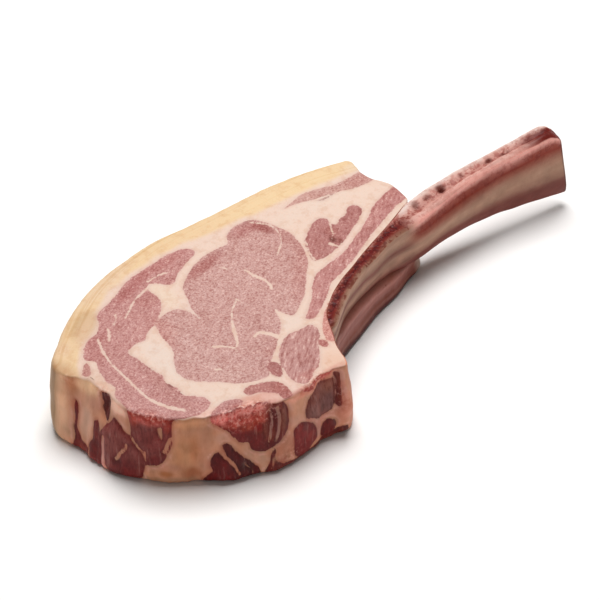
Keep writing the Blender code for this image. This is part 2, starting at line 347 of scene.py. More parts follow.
# %% Outlines of the muscles
MUSCLES = {
    "eye": [
        (-104, 17.5), (-107, 11), (-108.5, 2), (-110, -6), (-114, -11.5), (-117, -18), (-116.5, -26),
        (-112, -32), (-105, -38), (-98, -45), (-90, -49), (-83, -50), (-79.5, -45), (-73, -41),
        (-66, -35.5), (-61, -31), (-56.5, -27.5), (-52.5, -21), (-50, -14), (-48.3, -19.5),
        (-45.5, -24), (-40, -21.5), (-32, -16.5), (-25.5, -10.5), (-19, -3.5), (-12, 3.5), (-8, 11),
        (-5, 20), (-3.8, 29), (-5.5, 36), (-8, 44), (-12, 50.5), (-18, 53), (-26, 52.5), (-32, 49.5),
        (-36, 44), (-44, 44), (-53, 43.3), (-62, 40.5), (-70, 36), (-76.5, 30), (-80.5, 21),
        (-83.3, 14), (-84.2, 4), (-85.5, 11), (-88.5, 18), (-95, 20),
    ],
    "cap": [
        (-139, -44), (-145, -36), (-149.5, -28), (-151, -19), (-150.5, -11), (-147, -7), (-148, 0),
        (-146.5, 8), (-144, 14), (-147.5, 19), (-143, 26), (-138, 30), (-131, 31.5), (-127, 36),
        (-124, 42), (-118, 45), (-110, 47.5), (-103, 51), (-95, 54.5), (-84, 56), (-72, 57.5),
        (-62, 57.5), (-55, 54.5), (-54, 49.5), (-60, 46.5), (-66, 43.8), (-72, 41), (-77, 37),
        (-81, 37), (-85, 42), (-89, 44), (-91.5, 40), (-91, 33), (-94, 26), (-99, 21), (-105, 17),
        (-111, 14.5), (-116, 10.5), (-122, 11), (-128, 8), (-127, 1), (-126, -8), (-124.5, -16),
        (-126, -21), (-123.5, -28), (-124.5, -33), (-120.5, -38), (-117, -42), (-118, -47), (-124, -49),
        (-131, -47.5),
    ],
    "side_patch": [(-155, 11), (-151.5, 14.5), (-148, 17.5), (-148.5, 13.5), (-150.5, 9), (-153, 8)],
    "under_eye_left": [
        (-122, -53), (-119, -50.8), (-112, -50), (-106, -52), (-103.5, -55), (-107, -57.3), (-114, -56.5),
    ],
    "under_eye_right": [
        (-100, -51), (-97, -49.3), (-92, -50.5), (-86, -53.5), (-82, -57), (-81, -62.5), (-82.5, -68),
        (-87, -68), (-88, -62), (-91.5, -58), (-96, -55.3), (-99.5, -54),
    ],
    "by_the_edge": [
        (-112, -58.8), (-106, -59.5), (-99, -61.2), (-95, -63.5), (-97, -65), (-104, -62.5), (-110, -61),
    ],
    "small_dark": [
        (-80, -42.5), (-76, -43), (-74.3, -47.5), (-76, -52.5), (-79, -54.5), (-81.3, -51.5),
        (-81, -46.5),
    ],
    "triangle": [
        (-57, -33.5), (-50, -34), (-44, -34.5), (-41.3, -37.5), (-43.5, -43), (-47, -46.5), (-50.5, -51),
        (-54.5, -56), (-59, -60.5), (-64, -62.5), (-69, -65.5), (-73.5, -65), (-76, -60), (-75, -53),
        (-73, -46.5), (-69, -41), (-64, -37),
    ],
    "rib_head": [
        (-24, -27.6), (-29.5, -31.0), (-33.8, -34.3), (-38.5, -39.4), (-42.0, -44.1), (-43.4, -48.3),
        (-42.0, -51.2), (-39.6, -51.6), (-36, -51.6), (-30, -45), (-26, -40), (-20, -33),
    ],
    "under_head": [(-48.5, -47), (-45.5, -46.5), (-44.3, -49.5), (-45.5, -52.5), (-48.5, -51.5)],
    "intercostal": [
        (-41.5, -29.5), (-36, -25), (-29, -19.5), (-23, -12.8), (-17, -8), (-8, -5.2), (0, -4),
        (10, -1.8), (20, 2.5), (31, 7.5), (40, 12.5), (47, 17), (55, 20), (63, 22.5), (71, 24),
        (72, 16), (68, 11.8), (60, 10), (49, 6.3), (37, 2.0), (26, -2.4), (14, -7.5), (4, -11.6),
        (-6, -14.5), (-13.5, -16.8), (-17, -19.6), (-21.5, -23.2), (-27, -26.5), (-32, -29.5),
        (-38.5, -32),
    ],
    "fingers": [
        (-9, 2.5), (-6, 11), (-3, 17), (2, 21.5), (7.5, 25), (12.5, 27.8), (17, 28), (19.5, 25),
        (18.6, 20.5), (21, 18.2), (24, 19.8), (28.5, 21.0), (31.5, 22), (34, 24.3), (37, 25.5),
        (40, 24.5), (41, 20), (38, 16.5), (33.5, 13.5), (28, 10.8), (20, 7), (12, 3.5), (4, 1.5),
        (-3, 0.7),
    ],
    "tail_strip": [
        (7, 47.5), (14, 49), (22, 50.7), (30, 50.3), (37, 48), (44, 46.3), (53, 46.3), (62, 46.8),
        (70, 46), (71, 38), (66, 36), (57, 35.8), (49, 37), (43, 39), (37, 39.6), (31, 38.5), (27, 40),
        (23, 43.8), (16, 46),
    ],
}
# Fine white seams and veins that cross the lean: points, and their width at each end.
SEAMS = [
    ([
        (-134, 27), (-137, 18), (-139, 8), (-139.2, -5), (-139.5, -17), (-138.3, -27), (-135, -35),
        (-130, -42),
    ], 0.45, 0.8),
    ([(-114, 30.5), (-109, 34), (-103, 38.3), (-96, 41), (-90, 42.5)], 0.4, 0.7),
    ([(-130, 22), (-127.5, 26), (-125.5, 30)], 0.3, 0.7),
    ([(-122, 30), (-118, 33), (-116, 37)], 0.2, 0.5),
    ([(-42.3, 20.5), (-41.3, 13), (-39.3, 7.5), (-39.6, 3), (-41, -1)], 0.65, 0.8),
    ([(-39.5, 8), (-37.6, 7)], 0.5, 0.3),
    ([
        (-92, -16), (-87.5, -19.8), (-84.3, -23.8), (-81, -22), (-78.5, -17.5), (-76, -12.5), (-73, -7.5),
    ], 0.6, 0.9),
    ([(-73, -7), (-68, -1), (-64, 2), (-60.5, 4.5)], 0.3, 0.6),
    ([(-60.5, 5), (-60, 0)], 0.4, 0.1),
    ([(-71, -23.5), (-67.5, -23), (-64.5, -26), (-62.5, -30), (-61.5, -33)], 0.7, 1.6),
    ([(-84.5, -24), (-85.5, -30)], 0.4, 0.1),
    ([(-13, -5), (-5, -2.6), (2, -1.4), (9, -0.4)], 0.8, 0.8),
    ([(-8, 3), (-6.5, 9), (-3.5, 14), (-1, 20)], 0.5, 0.3),
    ([(18.4, 20.5), (15.8, 16.5), (13.5, 12)], 0.5, 0.2),
    ([(7, 7.4), (8.2, 4.8), (9.2, 2)], 1.0, 0.3),
    ([(22.5, 43), (28, 41.6), (35, 40.6)], 0.8, 0.4),
    ([(-88, 46.5), (-80, 47), (-72, 44.5)], 0.6, 0.3),
    ([(-101, -30), (-99, -31.5)], 0.7, 0.4),
    ([(-15, 50), (-10.5, 45), (-8, 39.6), (-8.8, 32), (-12.5, 26), (-17, 22), (-21, 19)], 0.55, 0.25),
    ([(-52, 33), (-49.5, 27)], 0.3, 0.2),
]


# %% [markdown]
# ## Distance to an outline
#
# A colour painted on points would blur over a whole face of the mesh. A distance doesn't: it changes
# evenly from point to point, so the material can find exactly where it passes zero between them.

# %% Signed distance to an outline
def inside_distance(points, outline, reach=9.0):
    """Distance in millimetres to a closed curve: positive inside, negative outside, cut off at -reach.

    The distance to each straight stretch is |p - a - t (b - a)| with t = (p - a).(b - a) / |b - a|^2 kept
    within 0 and 1, and a point is inside where a ray along +X crosses the curve an odd number of times.
    """
    curve = smooth_curve(outline, 6, closed=True)
    result = np.full(len(points), -reach)
    near = np.all((points > curve.min(0) - reach) & (points < curve.max(0) + reach), axis=1)
    a, b = curve, np.roll(curve, -1, axis=0)
    for part in np.array_split(np.flatnonzero(near), max(1, near.sum() // 4000)):
        p = points[part][:, None]
        t = np.clip(((p - a) * (b - a)).sum(-1) / ((b - a) ** 2).sum(-1), 0, 1)
        distance = np.linalg.norm(p - a - t[..., None] * (b - a), axis=-1).min(axis=1)
        rising = (a[:, 1] > p[..., 1]) != (b[:, 1] > p[..., 1])
        drop = np.where(b[:, 1] == a[:, 1], 1.0, b[:, 1] - a[:, 1])
        crossing = rising & (p[..., 0] < a[:, 0] + (p[..., 1] - a[:, 1]) * (b[:, 0] - a[:, 0]) / drop)
        inside = crossing.sum(axis=1) % 2 == 1
        result[part] = np.maximum(np.where(inside, distance, -distance), -reach)
    return result


def line_distance(points, line, reach=9.0):
    """Distance to an open curve and how far along it, from 0 to 1, the nearest place is."""
    curve = smooth_curve(line, 6)
    distance, share = np.full(len(points), reach), np.zeros(len(points))
    near = np.flatnonzero(np.all((points > curve.min(0) - reach) & (points < curve.max(0) + reach), axis=1))
    if len(near) == 0:
        return distance, share
    a, b = curve[:-1], curve[1:]
    p = points[near][:, None]
    t = np.clip(((p - a) * (b - a)).sum(-1) / ((b - a) ** 2).sum(-1), 0, 1)
    all_distances = np.linalg.norm(p - a - t[..., None] * (b - a), axis=-1)
    best = all_distances.argmin(axis=1)
    pick = np.arange(len(near))
    distance[near] = np.minimum(all_distances[pick, best], reach)
    share[near] = (best + t[pick, best]) / len(a)
    return distance, share


def tissue_map(points, shapes, seams):
    """Signed distance to the lean, and which shape is nearest: the greatest of the shapes' distances.

    Along a seam the distance is no more than the distance to its line less half its width there.
    """
    distances = np.array([inside_distance(points, outline) for outline in shapes.values()])
    which, lean = distances.argmax(axis=0), distances.max(axis=0)
    for line, start, end in seams:
        distance, share = line_distance(points, line)
        lean = np.minimum(lean, distance - (start + (end - start) * share))
    return lean, which

# %% [markdown]
# ## The sawn end
#
# The end towards the camera shows other muscles than the face above, in browner lean that has dried a
# little. They are drawn on the unrolled wall: the first number runs along the outline from the back fat's
# corner, the second is the height.

# %% Outlines on the sawn end
SAWN_MUSCLES = {
    "end_foot": [
        (7, -4), (8.5, 3), (9.8, 8), (10, 15), (10.8, 22), (10.3, 28), (11, 33), (12.5, 31), (13, 24),
        (12.3, 16), (14.2, 9), (17, 7.5), (20, 6.5), (22, 8), (23.5, 12), (26, 15), (26.3, 20),
        (25.7, 26), (29, 27.5), (31, 24), (30.6, 16), (30.4, 8), (30, 2), (29.5, -4),
    ],
    "end_notch": [
        (28.5, 48), (28.7, 42), (30.3, 37), (32.7, 33), (35.6, 31.7), (36, 35.5), (34, 40), (33, 44),
        (32.6, 48),
    ],
    "end_purple": [
        (29.5, -4), (30.2, 8), (30.7, 17), (31.2, 23), (34.5, 28), (37, 31.5), (39.5, 36.3), (43, 34.5),
        (47, 31.7), (49.5, 31), (49.5, 36), (48, 42), (48.5, 48), (73, 48), (71.6, 43), (70.5, 36),
        (70.6, 29), (69, 24), (66.5, 17.5), (63, 14), (60, 13.5), (57, 12.5), (55.4, 6), (53.5, 0),
        (53, -4),
    ],
    "end_ragged": [
        (91, 48), (90.5, 42), (93.5, 38.5), (97, 36), (100.5, 31.5), (102.5, 28), (105, 25),
        (108, 24.5), (109.5, 19.5), (113, 17.2), (119, 16.8), (122.5, 19.5), (126, 21.5), (129, 26),
        (130.7, 32), (130.7, 39), (128.5, 44), (126, 48),
    ],
    "end_wedge": [
        (86, -4), (84.5, 1), (86.8, 5), (89, 9), (88, 14), (89.5, 19), (92, 21.5), (94.5, 22.5), (95.3, 26.3),
        (98, 27), (100.5, 23.5), (103, 19), (106, 14.5), (109.5, 10.5), (112.5, 6.5), (114, 2), (115, -4),
    ],
    "end_low": [
        (115, -4), (117, 2.5), (119.7, 8), (121, 15), (123, 17.5), (123.3, 10), (125.5, 5), (131, 3.7),
        (140, 3), (150, 3.6), (158, 4.5), (163, 6), (168, 5), (168, -4),
    ],
    "end_oval": [
        (132.3, 14), (132, 20), (133.3, 24.7), (137, 26.3), (141.5, 24.3), (145.5, 19.5), (147.8, 13.5),
        (147.3, 7.5), (143.5, 4), (138, 2.4), (133.5, 4), (132.6, 9),
    ],
    "end_round": [
        (140.4, 31), (142.3, 35.5), (146, 39.8), (151, 41.5), (157, 41.8), (161, 40.2), (162.4, 35),
        (161.8, 28), (159.5, 22.5), (155, 20.6), (150, 20.8), (145.5, 23.5), (141.5, 27),
    ],
    "end_corner": [
        (151, 9.5), (152.5, 13.3), (156.5, 15.7), (160.5, 14.3), (162.6, 9.3), (160.5, 5.3), (156, 3.8),
        (152.3, 5.2),
    ],
    "end_fold": [
        (161.8, 43), (163.2, 38), (163.0, 30), (162.6, 24), (164.2, 22), (165.2, 29), (165.4, 37),
        (164.6, 43),
    ],
    "end_rim": [(139, 48), (140.5, 44.3), (146, 42.8), (150, 43.6), (156, 43.3), (161.5, 44.8), (162.5, 48)],
}
SAWN_SEAMS = [
    ([(36.5, -4), (35.8, 3), (34.5, 10), (34, 16), (33.8, 20)], 2.2, 0.9),
    ([(22, -4), (23, 3), (23.5, 9)], 0.5, 0.3),
    ([(43.3, 11.5), (44.5, 15.5), (46.5, 20), (48.3, 24)], 0.9, 0.6),
    ([(66.3, 24), (68, 27.5), (70, 33)], 0.7, 0.8),
    ([(49.5, 31), (52, 27), (55, 22), (57.5, 16)], 0.35, 0.5),
    ([(56.5, 22), (57, 17.5)], 0.5, 0.5),
    ([(93.5, 24), (95.8, 19.5), (98.3, 14.5), (101, 10), (102, 5)], 1.2, 0.6),
    ([(105, 12), (108, 7), (109.5, 1)], 0.3, 0.2),
    ([(120.5, 43), (121.3, 36), (121, 29), (119.5, 22)], 0.5, 0.4),
    ([(124.6, 42), (125.2, 35), (124.8, 28), (123, 22)], 0.9, 0.4),
    ([(65, 38.5), (65.3, 32.5)], 0.7, 0.3),
    ([(120.5, 3), (122, 9), (122.5, 14)], 0.4, 0.2),
]

# %% [markdown]
# ## Colours by place
#
# Fresh lean is purple-red where it was just cut and paler where its marbling is dense. Back fat is
# yellow, the fat between the muscles cream. A colour is looked up for each muscle, then soft oval
# patches tint it.

# %% Colours
def linear(screen):
    """Screen colours from 0 to 255 turned into amounts of light, by the sRGB curve."""
    c = np.asarray(screen, float) / 255
    return np.where(c <= 0.04045, c / 12.92, ((c + 0.055) / 1.055) ** 2.4)


FACE_LIGHT = 1.40  # how bright a white upper face would look under the lamps below
UNDER_LIGHT = 0.395  # how bright the wall under the rib is beside it
SHADE_TINT = np.array([1.045, 1.0, 0.972])  # light off the floor is a little warmer than the lamp's
SHINE, SKIN_SHINE = 0.02, 0.03  # light that a damp surface mirrors whatever its colour
LEAN_COLOURS = {
    "eye": (209, 163, 155), "cap": (203, 148, 142), "side_patch": (196, 140, 130),
    "under_eye_left": (196, 140, 134), "under_eye_right": (186, 122, 114),
    "by_the_edge": (176, 106, 98), "small_dark": (180, 118, 112), "triangle": (198, 146, 139),
    "under_head": (188, 120, 112), "rib_head": (214, 150, 138), "intercostal": (199, 140, 134),
    "fingers": (188, 129, 123), "tail_strip": (211, 166, 155),
}
print("colours of the face:", len(LEAN_COLOURS))

# %% [markdown]
# ## Colours of the sawn end
#
# The sawn end has dried longer, so its lean is darker and browner than the face's.

# %% Colours of the sawn end
SAWN_COLOURS = {
    "end_foot": (101, 46, 38), "end_notch": (84, 33, 18), "end_purple": (108, 58, 55),
    "end_ragged": (102, 50, 44), "end_wedge": (84, 29, 27), "end_low": (92, 50, 42),
    "end_oval": (108, 44, 37), "end_round": (108, 68, 62), "end_corner": (92, 30, 24),
    "end_rim": (176, 96, 86), "end_fold": (112, 62, 52),
}
print("colours of the sawn end:", len(SAWN_COLOURS))

# %% [markdown]
# ## Stains and bruises
#
# Each muscle is darker or paler in places: a bruise, a damp hole, a patch where the marbling is dense.
# Each is one soft oval on the face, or on the unrolled wall for the sawn end.

# %% Patches of the lean
# How streaky each muscle is, from 0 to 1.
STRIPES = {"triangle": 1.0, "intercostal": 0.7, "fingers": 0.6, "cap": 0.35, "eye": 0.25}
LEAN_PATCHES = [  # middle, two radii, turn in degrees, colour, strength
    (-58, 37, 15, 4.5, 12, (180, 114, 108), 0.9), (-13, 43, 4, 9, 20, (160, 84, 78), 0.85),
    (-22, 47, 9, 5, 0, (180, 110, 106), 0.6), (-98, 48, 16, 4, 22, (183, 112, 108), 0.7),
    (-75, 53, 18, 3.5, 3, (192, 124, 118), 0.6), (-104, 10, 7, 10, 0, (200, 136, 126), 0.6),
    (-106, 1, 4, 12, 0, (200, 140, 132), 0.5), (-142, 20, 7, 10, -30, (194, 130, 124), 0.55),
    (-134, 27, 12, 4, 15, (196, 134, 128), 0.5), (-97, 34, 7, 6, 0, (188, 124, 118), 0.6),
    (-128, -24, 4, 26, 0, (190, 134, 126), 0.5), (-148, -36, 7, 7, -40, (168, 82, 72), 0.8),
    (-136, -47, 12, 3, -20, (172, 88, 78), 0.75), (-20, -2, 26, 7, 45, (200, 140, 132), 0.45),
    (-8, 24, 4, 22, -6, (194, 136, 128), 0.5), (-84, -62, 4, 8, 0, (172, 96, 88), 0.6),
    (10.8, 9.6, 2.2, 3.4, -30, (104, 40, 30), 0.95), (12.8, 4.8, 1.5, 3.4, -25, (138, 68, 58), 0.8),
    (-126.6, 7.2, 1.7, 1.9, 0, (134, 72, 62), 0.85), (-125.2, -8.5, 1.5, 2.2, 0, (150, 90, 82), 0.8),
    (-125.6, -23.5, 1.5, 2.5, 0, (150, 88, 80), 0.8), (-123.6, -31.5, 1.5, 1.5, 0, (140, 76, 68), 0.8),
    (-99.5, -31, 2.2, 1.8, 0, (170, 110, 104), 0.7), (14, 14, 4, 6, -20, (178, 112, 104), 0.6),
    (31, 39, 7, 2.5, 0, (190, 160, 150), 0.7), (58, 41, 12, 5, 0, (200, 142, 134), 0.6),
    (62, 20, 10, 4, 20, (192, 128, 120), 0.6), (40, 9, 14, 3, 25, (204, 146, 138), 0.5),
    (-55, -60, 6, 3, 20, (200, 140, 130), 0.5), (-66, -62, 10, 3, -5, (192, 124, 114), 0.6),
    (-100, -10, 9, 24, 0, (214, 172, 164), 0.5), (-55, 18, 24, 14, 0, (214, 170, 162), 0.5),
    (-98, -36, 12, 7, -35, (214, 172, 162), 0.5), (-70, -37, 12, 4, 35, (200, 146, 138), 0.5),
]
SAWN_LEAN_PATCHES = [
    (60, 44.2, 14, 4.2, 0, (158, 74, 66), 0.95), (51, 42, 4, 5, 0, (150, 66, 56), 0.8),
    (69, 41, 4, 5, 0, (130, 54, 46), 0.8), (61, 30, 7, 8, 0, (110, 52, 50), 0.5),
    (47, 8, 8, 8, 0, (92, 38, 36), 0.8), (40, 2, 8, 3, 0, (70, 36, 32), 0.7),
    (63, 17, 5, 4, 0, (96, 36, 32), 0.8), (38, 22, 8, 8, 0, (120, 64, 58), 0.5),
    (47, 36, 4, 4, 0, (128, 72, 60), 0.5), (94, 43, 4.5, 5, 0, (192, 108, 98), 0.95),
    (100, 43.5, 10, 3.6, 0, (196, 116, 108), 0.9), (112, 43.5, 10, 3.6, 0, (204, 126, 116), 0.95),
    (104, 38, 9, 3, 0, (170, 84, 74), 0.9), (101, 33.5, 5, 3.5, 0, (110, 38, 28), 0.8),
    (116, 38.5, 6, 3.2, 0, (172, 84, 72), 0.9), (110, 34, 5, 2.5, 10, (150, 66, 54), 0.8),
    (114, 33, 3, 2.5, 0, (116, 36, 26), 0.8), (106, 28.5, 5, 3.5, 0, (98, 34, 30), 0.8),
    (113, 25, 4, 4, 0, (92, 34, 30), 0.7), (121, 30, 4, 9, 0, (104, 60, 52), 0.7),
    (122, 41, 3.5, 5, 0, (100, 52, 42), 0.7), (127, 35, 3, 8, 0, (112, 72, 62), 0.7),
    (117, 20, 6, 3, 0, (84, 30, 27), 0.7), (93, 12, 5, 7, 0, (88, 26, 24), 0.7),
    (105, 10, 5, 8, 30, (66, 24, 22), 0.7), (97, 24, 2.5, 2.5, 0, (78, 34, 26), 0.7),
    (137, 14, 5, 5, 0, (110, 38, 32), 0.6), (140, 7, 6, 3, 0, (98, 42, 36), 0.6),
    (148, 36, 5, 4, 0, (112, 60, 52), 0.6), (157, 29, 5, 6, 0, (92, 62, 60), 0.7),
    (158, 38, 5, 4, 0, (116, 72, 60), 0.7), (120, 10, 3, 5, 0, (104, 54, 44), 0.6),
    (20, 3, 8, 4, 0, (108, 56, 52), 0.6), (27, 10, 4, 8, 0, (96, 42, 36), 0.5),
]
print("patches of the lean:", len(LEAN_PATCHES) + len(SAWN_LEAN_PATCHES))

# %% [markdown]
# ## Patches of the fat
#
# The fat is yellower towards the back, and pinker where blood has soaked into it.

# %% Patches of the fat
FAT_CREAM, FAT_YELLOW = (239, 211, 194), (241, 208, 166)
FAT_PATCHES = [
    (-164, 14, 9, 20, 0, (206, 164, 124), 0.95), (-133, 40.5, 12, 7, 38, (210, 174, 132), 0.85),
    (-152, 33, 5, 7, -45, (238, 204, 168), 0.9), (-166, 28, 6, 8, 0, (190, 142, 100), 0.5),
    (-140, 50, 20, 5, 40, (236, 200, 160), 0.7), (-100, 68, 40, 4, 14, (238, 204, 160), 0.7),
    (-40, 70.5, 50, 3.5, 0, (240, 208, 164), 0.7), (30, 68, 40, 3.5, -8, (238, 205, 158), 0.7),
    (20, 60, 50, 7, -4, (244, 214, 170), 0.7), (-153, -4, 6, 14, 0, (228, 190, 168), 0.8),
    (-152, -26, 4, 10, 0, (224, 170, 150), 0.8), (-117, -8, 7, 22, 0, (238, 216, 202), 0.8),
    (-88, 32, 6, 12, 0, (240, 214, 192), 0.8), (-84, 12, 3, 10, 0, (238, 212, 200), 0.7),
    (-110, -46, 18, 5, -30, (240, 214, 198), 0.6), (-106, 60, 24, 5, 20, (238, 208, 180), 0.6),
    (-135, 37, 14, 4, 40, (230, 194, 160), 0.75), (-124, -51, 12, 3, -15, (240, 196, 180), 0.8),
    (-100, -58, 14, 4, -15, (226, 168, 152), 0.8), (-90, -60, 5, 7, 0, (230, 180, 166), 0.7),
    (-78, -62, 3, 7, 0, (240, 206, 192), 0.8), (-50, -62, 9, 7, 30, (238, 196, 172), 0.8),
    (-45, -55, 5, 7, 0, (242, 208, 188), 0.7), (-58, -67, 12, 2.5, 0, (222, 164, 146), 0.8),
    (-75, -68.5, 14, 2.5, 0, (206, 134, 120), 0.8), (-100, -64, 12, 3, -15, (200, 124, 112), 0.8),
    (-50, -27, 8, 5, 0, (238, 214, 200), 0.7), (25, 40, 40, 7, 0, (238, 214, 198), 0.6),
    (50, 30, 20, 5, 0, (240, 213, 196), 0.6), (62, 52, 8, 4, 0, (240, 216, 190), 0.6),
    (26, 22.5, 7, 3, 25, (240, 212, 196), 0.7), (64, 35, 5, 5, 0, (238, 206, 186), 0.5),
    (-2, -5, 30, 2, 25, (240, 208, 196), 0.7), (30, 60, 8, 2, 0, (240, 206, 160), 0.4),
]
SAWN_FAT, BLOOD_STAIN, PALE_SKIN = (168, 118, 94), (150, 78, 64), (196, 148, 134)
SAWN_FAT_PATCHES = [
    (2, 24, 5.5, 26, 0, (200, 154, 124), 0.95), (5, 6, 4, 9, 0, (162, 122, 98), 0.8),
    (0, 44, 6, 5, 0, (208, 164, 130), 0.8), (10, 42, 5, 5, 0, (170, 112, 82), 0.8),
    (19, 22, 6, 12, 0, (180, 140, 120), 0.9), (18, 35, 6, 5, 0, (176, 130, 108), 0.8),
    (19, 43, 8, 5, 0, (206, 166, 132), 0.8), (25, 36, 5, 5, 0, (160, 112, 94), 0.7),
    (40, 43, 9, 4.5, 0, (212, 168, 148), 0.85), (45, 36, 6, 4, -30, (168, 118, 98), 0.8),
    (35, 10, 3, 14, 0, (178, 124, 116), 0.9), (78, 43, 10, 5, 0, (178, 124, 92), 0.8),
    (76, 22, 6, 14, 0, (164, 114, 84), 0.8), (82, 26, 3.5, 10, 0, (150, 98, 70), 0.8),
    (87, 28, 3.5, 14, 0, (162, 112, 90), 0.7), (67, 8, 4, 3, 0, (132, 78, 50), 0.8),
    (80, 8, 6, 5, 0, (134, 80, 58), 0.8), (68, 13, 8, 3, 0, (160, 110, 90), 0.8),
    (70, 2, 18, 4, 0, (128, 94, 76), 0.85), (86, 14, 3, 6, 0, (160, 112, 92), 0.7),
    (96, 31, 5, 4, -35, (170, 124, 106), 0.8), (112, 14, 9, 5, -35, (164, 122, 102), 0.8),
    (116, 8, 3, 6, 0, (160, 118, 98), 0.7), (128, 16, 5, 10, 0, (146, 96, 78), 0.8),
    (134.5, 36, 4, 9, 0, (178, 128, 106), 0.9), (134, 29, 6, 4, 0, (172, 126, 108), 0.8),
    (134, 44, 5, 4, 0, (196, 138, 118), 0.8), (146, 22, 8, 4, -35, (168, 116, 102), 0.8),
    (149, 13, 3, 7, 0, (160, 108, 98), 0.8), (157, 18.5, 8, 2.5, 0, (168, 112, 98), 0.8),
    (164, 34, 4, 12, 0, (178, 122, 112), 0.7), (166, 18, 5, 12, 0, (165, 105, 88), 0.8),
    (125, 6, 5, 4, 0, (120, 74, 62), 0.7), (123, 33, 5, 12, 0, (134, 98, 92), 0.85),
    (150, 43, 14, 3, 0, (200, 130, 112), 0.7),
]
print("patches of the fat:", len(FAT_PATCHES) + len(SAWN_FAT_PATCHES))

# %% [markdown]
# ## Light, bands and patches
#
# Four small helpers turn the lists into colours: how much light a surface gets, what colour it needs to
# look right in that light, a lookup in a list of bands, and soft ovals laid over a colour.


# %% Helpers for colour
def light_on(facing):
    """Light on a surface by the way it faces: 0.405 + 0.1 z + 0.495 z^2, as a share of the upper face's."""
    up = np.clip(facing[..., 2], 0, 1)
    return (0.405 + 0.1 * up + 0.495 * up**2)[..., None]


def in_shade(seen, light, shine=SHINE):
    """The surface colour that looks as given in little light: (seen - shine) / (light times its tint)."""
    return np.maximum(seen - shine, 0.25 * seen) / (light * SHADE_TINT ** ((1 - light) / 0.57))


def banded(bands, at):
    """Colours at given places, in a straight line between the tones of a list of bands."""
    places, colours = bands
    return np.stack([np.interp(at, places, c) for c in linear(colours).T], axis=-1)


def tinted(colour, points, patches):
    """Colours with soft oval patches laid over them, strongest in each middle: exp(-1.2 r^4) of its radii."""
    for x, y, wide, high, turn, tone, strength in patches:
        c, s = np.cos(np.radians(turn)), np.sin(np.radians(turn))
        dx, dy = points[:, 0] - x, points[:, 1] - y
        r2 = ((dx * c + dy * s) / wide) ** 2 + ((dy * c - dx * s) / high) ** 2
        weight = (strength * np.exp(-1.2 * r2**2))[:, None]
        colour = colour * (1 - weight) + linear(tone) * weight
    return colour


def of_shapes(shapes, colours, which):
    """The colour of each point's nearest muscle."""
    return np.array([linear(colours[name]) for name in shapes])[which]


# %% [markdown]
# ## Tissue of the cut faces
#
# The same muscles run through the whole slab, so both faces and the wall ask one function. The outlines
# drift with depth, because muscles aren't straight columns. The fat turns from cream to yellow beyond a
# seam that follows the animal's back.

# %% Tissue of the cut faces
FAT_SEAM = [
    (-185, 0), (-168, 3), (-158, 8.5), (-152, 17), (-144, 28), (-132, 38.5), (-118, 48), (-100, 55.5),
    (-80, 58.5), (-60, 59), (-40, 56.5), (-20, 55.5), (0, 52.5), (20, 51.5), (40, 50), (56, 49),
    (70, 48), (90, 47),
]


def face_tissue(plan, depth):
    """Lean distance and the two colours at plan positions; the outlines drift a little with depth."""
    space = np.column_stack([plan, depth])
    drift = np.column_stack([lattice_noise(space, 14, 3), lattice_noise(space, 14, 4)])
    at = plan + drift * np.clip((THICKNESS - depth) / 12, 0, 1)[:, None] * 1.6
    lean, which = tissue_map(at, MUSCLES, SEAMS)
    lean_colour = tinted(of_shapes(MUSCLES, LEAN_COLOURS, which), at, LEAN_PATCHES)
    seam = smooth_curve(FAT_SEAM, 6)
    beyond = at[:, 1] - np.interp(at[:, 0], seam[:, 0], seam[:, 1])
    yellow = smooth_step(-1.5, 3.5, beyond + 1.2 * lattice_noise(space, 9, 5))[:, None]
    fat_colour = linear(FAT_CREAM) * (1 - yellow) + linear(FAT_YELLOW) * yellow
    fat_colour = tinted(fat_colour, at, FAT_PATCHES)
    stripes = np.array([STRIPES.get(name, 0.4) for name in MUSCLES])[which]
    return lean, lean_colour, fat_colour, stripes


def mixed(first, second, share):
    """Two answers of face_tissue blended by a share from 0 to 1."""

    def one(a, b):
        part = share if a.ndim == 1 else share[:, None]
        return a * (1 - part) + b * part

    return tuple(one(a, b) for a, b in zip(first, second))


below = wall[1:]
below_points = below.reshape(-1, 3)
column_run = np.concatenate([np.arange(n) * s for n, s in zip(side_counts, spacings)])
run = np.tile(column_run, len(below))
side = np.tile(side_of_column, len(below))
height = below_points[:, 2]

upper_tissue = face_tissue(upper_points[:, :2], upper_points[:, 2])
lower_tissue = face_tissue(lower_points[:, :2], lower_points[:, 2])
wall_tissue = face_tissue(below_points[:, :2], height)

# %% [markdown]
# ## Tissue of the sawn end
#
# Here the lean is dark and dry, and the fat is stained by it. The wall gets much less light than the upper
# face, so the colour that should be seen is divided by that light to find the colour of the surface.

# %% Tissue of the sawn end
LIGHT_ALONG_END = ([0, 40, 90, 130, 170], [0.385, 0.38, 0.375, 0.38, 0.38])
LIGHT_UP_END = ([0, 4, 11], [0.62, 0.8, 1.0])  # less near the floor
sawn = np.flatnonzero(side == 0)
unrolled = np.column_stack([run[sawn], height[sawn]])
wander = np.column_stack([lattice_noise(below_points[sawn], 5, 7), lattice_noise(below_points[sawn], 5, 8)])
wandered = unrolled + 0.6 * wander
sawn_lean, sawn_which = tissue_map(wandered, SAWN_MUSCLES, SAWN_SEAMS)
sawn_up = np.repeat(row_up[1:], len(outer))[sawn]
side_light = np.interp(run[sawn], *LIGHT_ALONG_END) * np.interp(height[sawn], *LIGHT_UP_END)
sawn_light = (side_light + (1 - side_light) * sawn_up**1.5)[:, None]
end_points = below_points[sawn]
mottled = 0.6 * lattice_noise(end_points, 3.5, 31) + 0.4 * lattice_noise(end_points * (1, 1, 0.4), 2.0, 32)
sawn_lean_colour = tinted(of_shapes(SAWN_MUSCLES, SAWN_COLOURS, sawn_which), wandered, SAWN_LEAN_PATCHES)
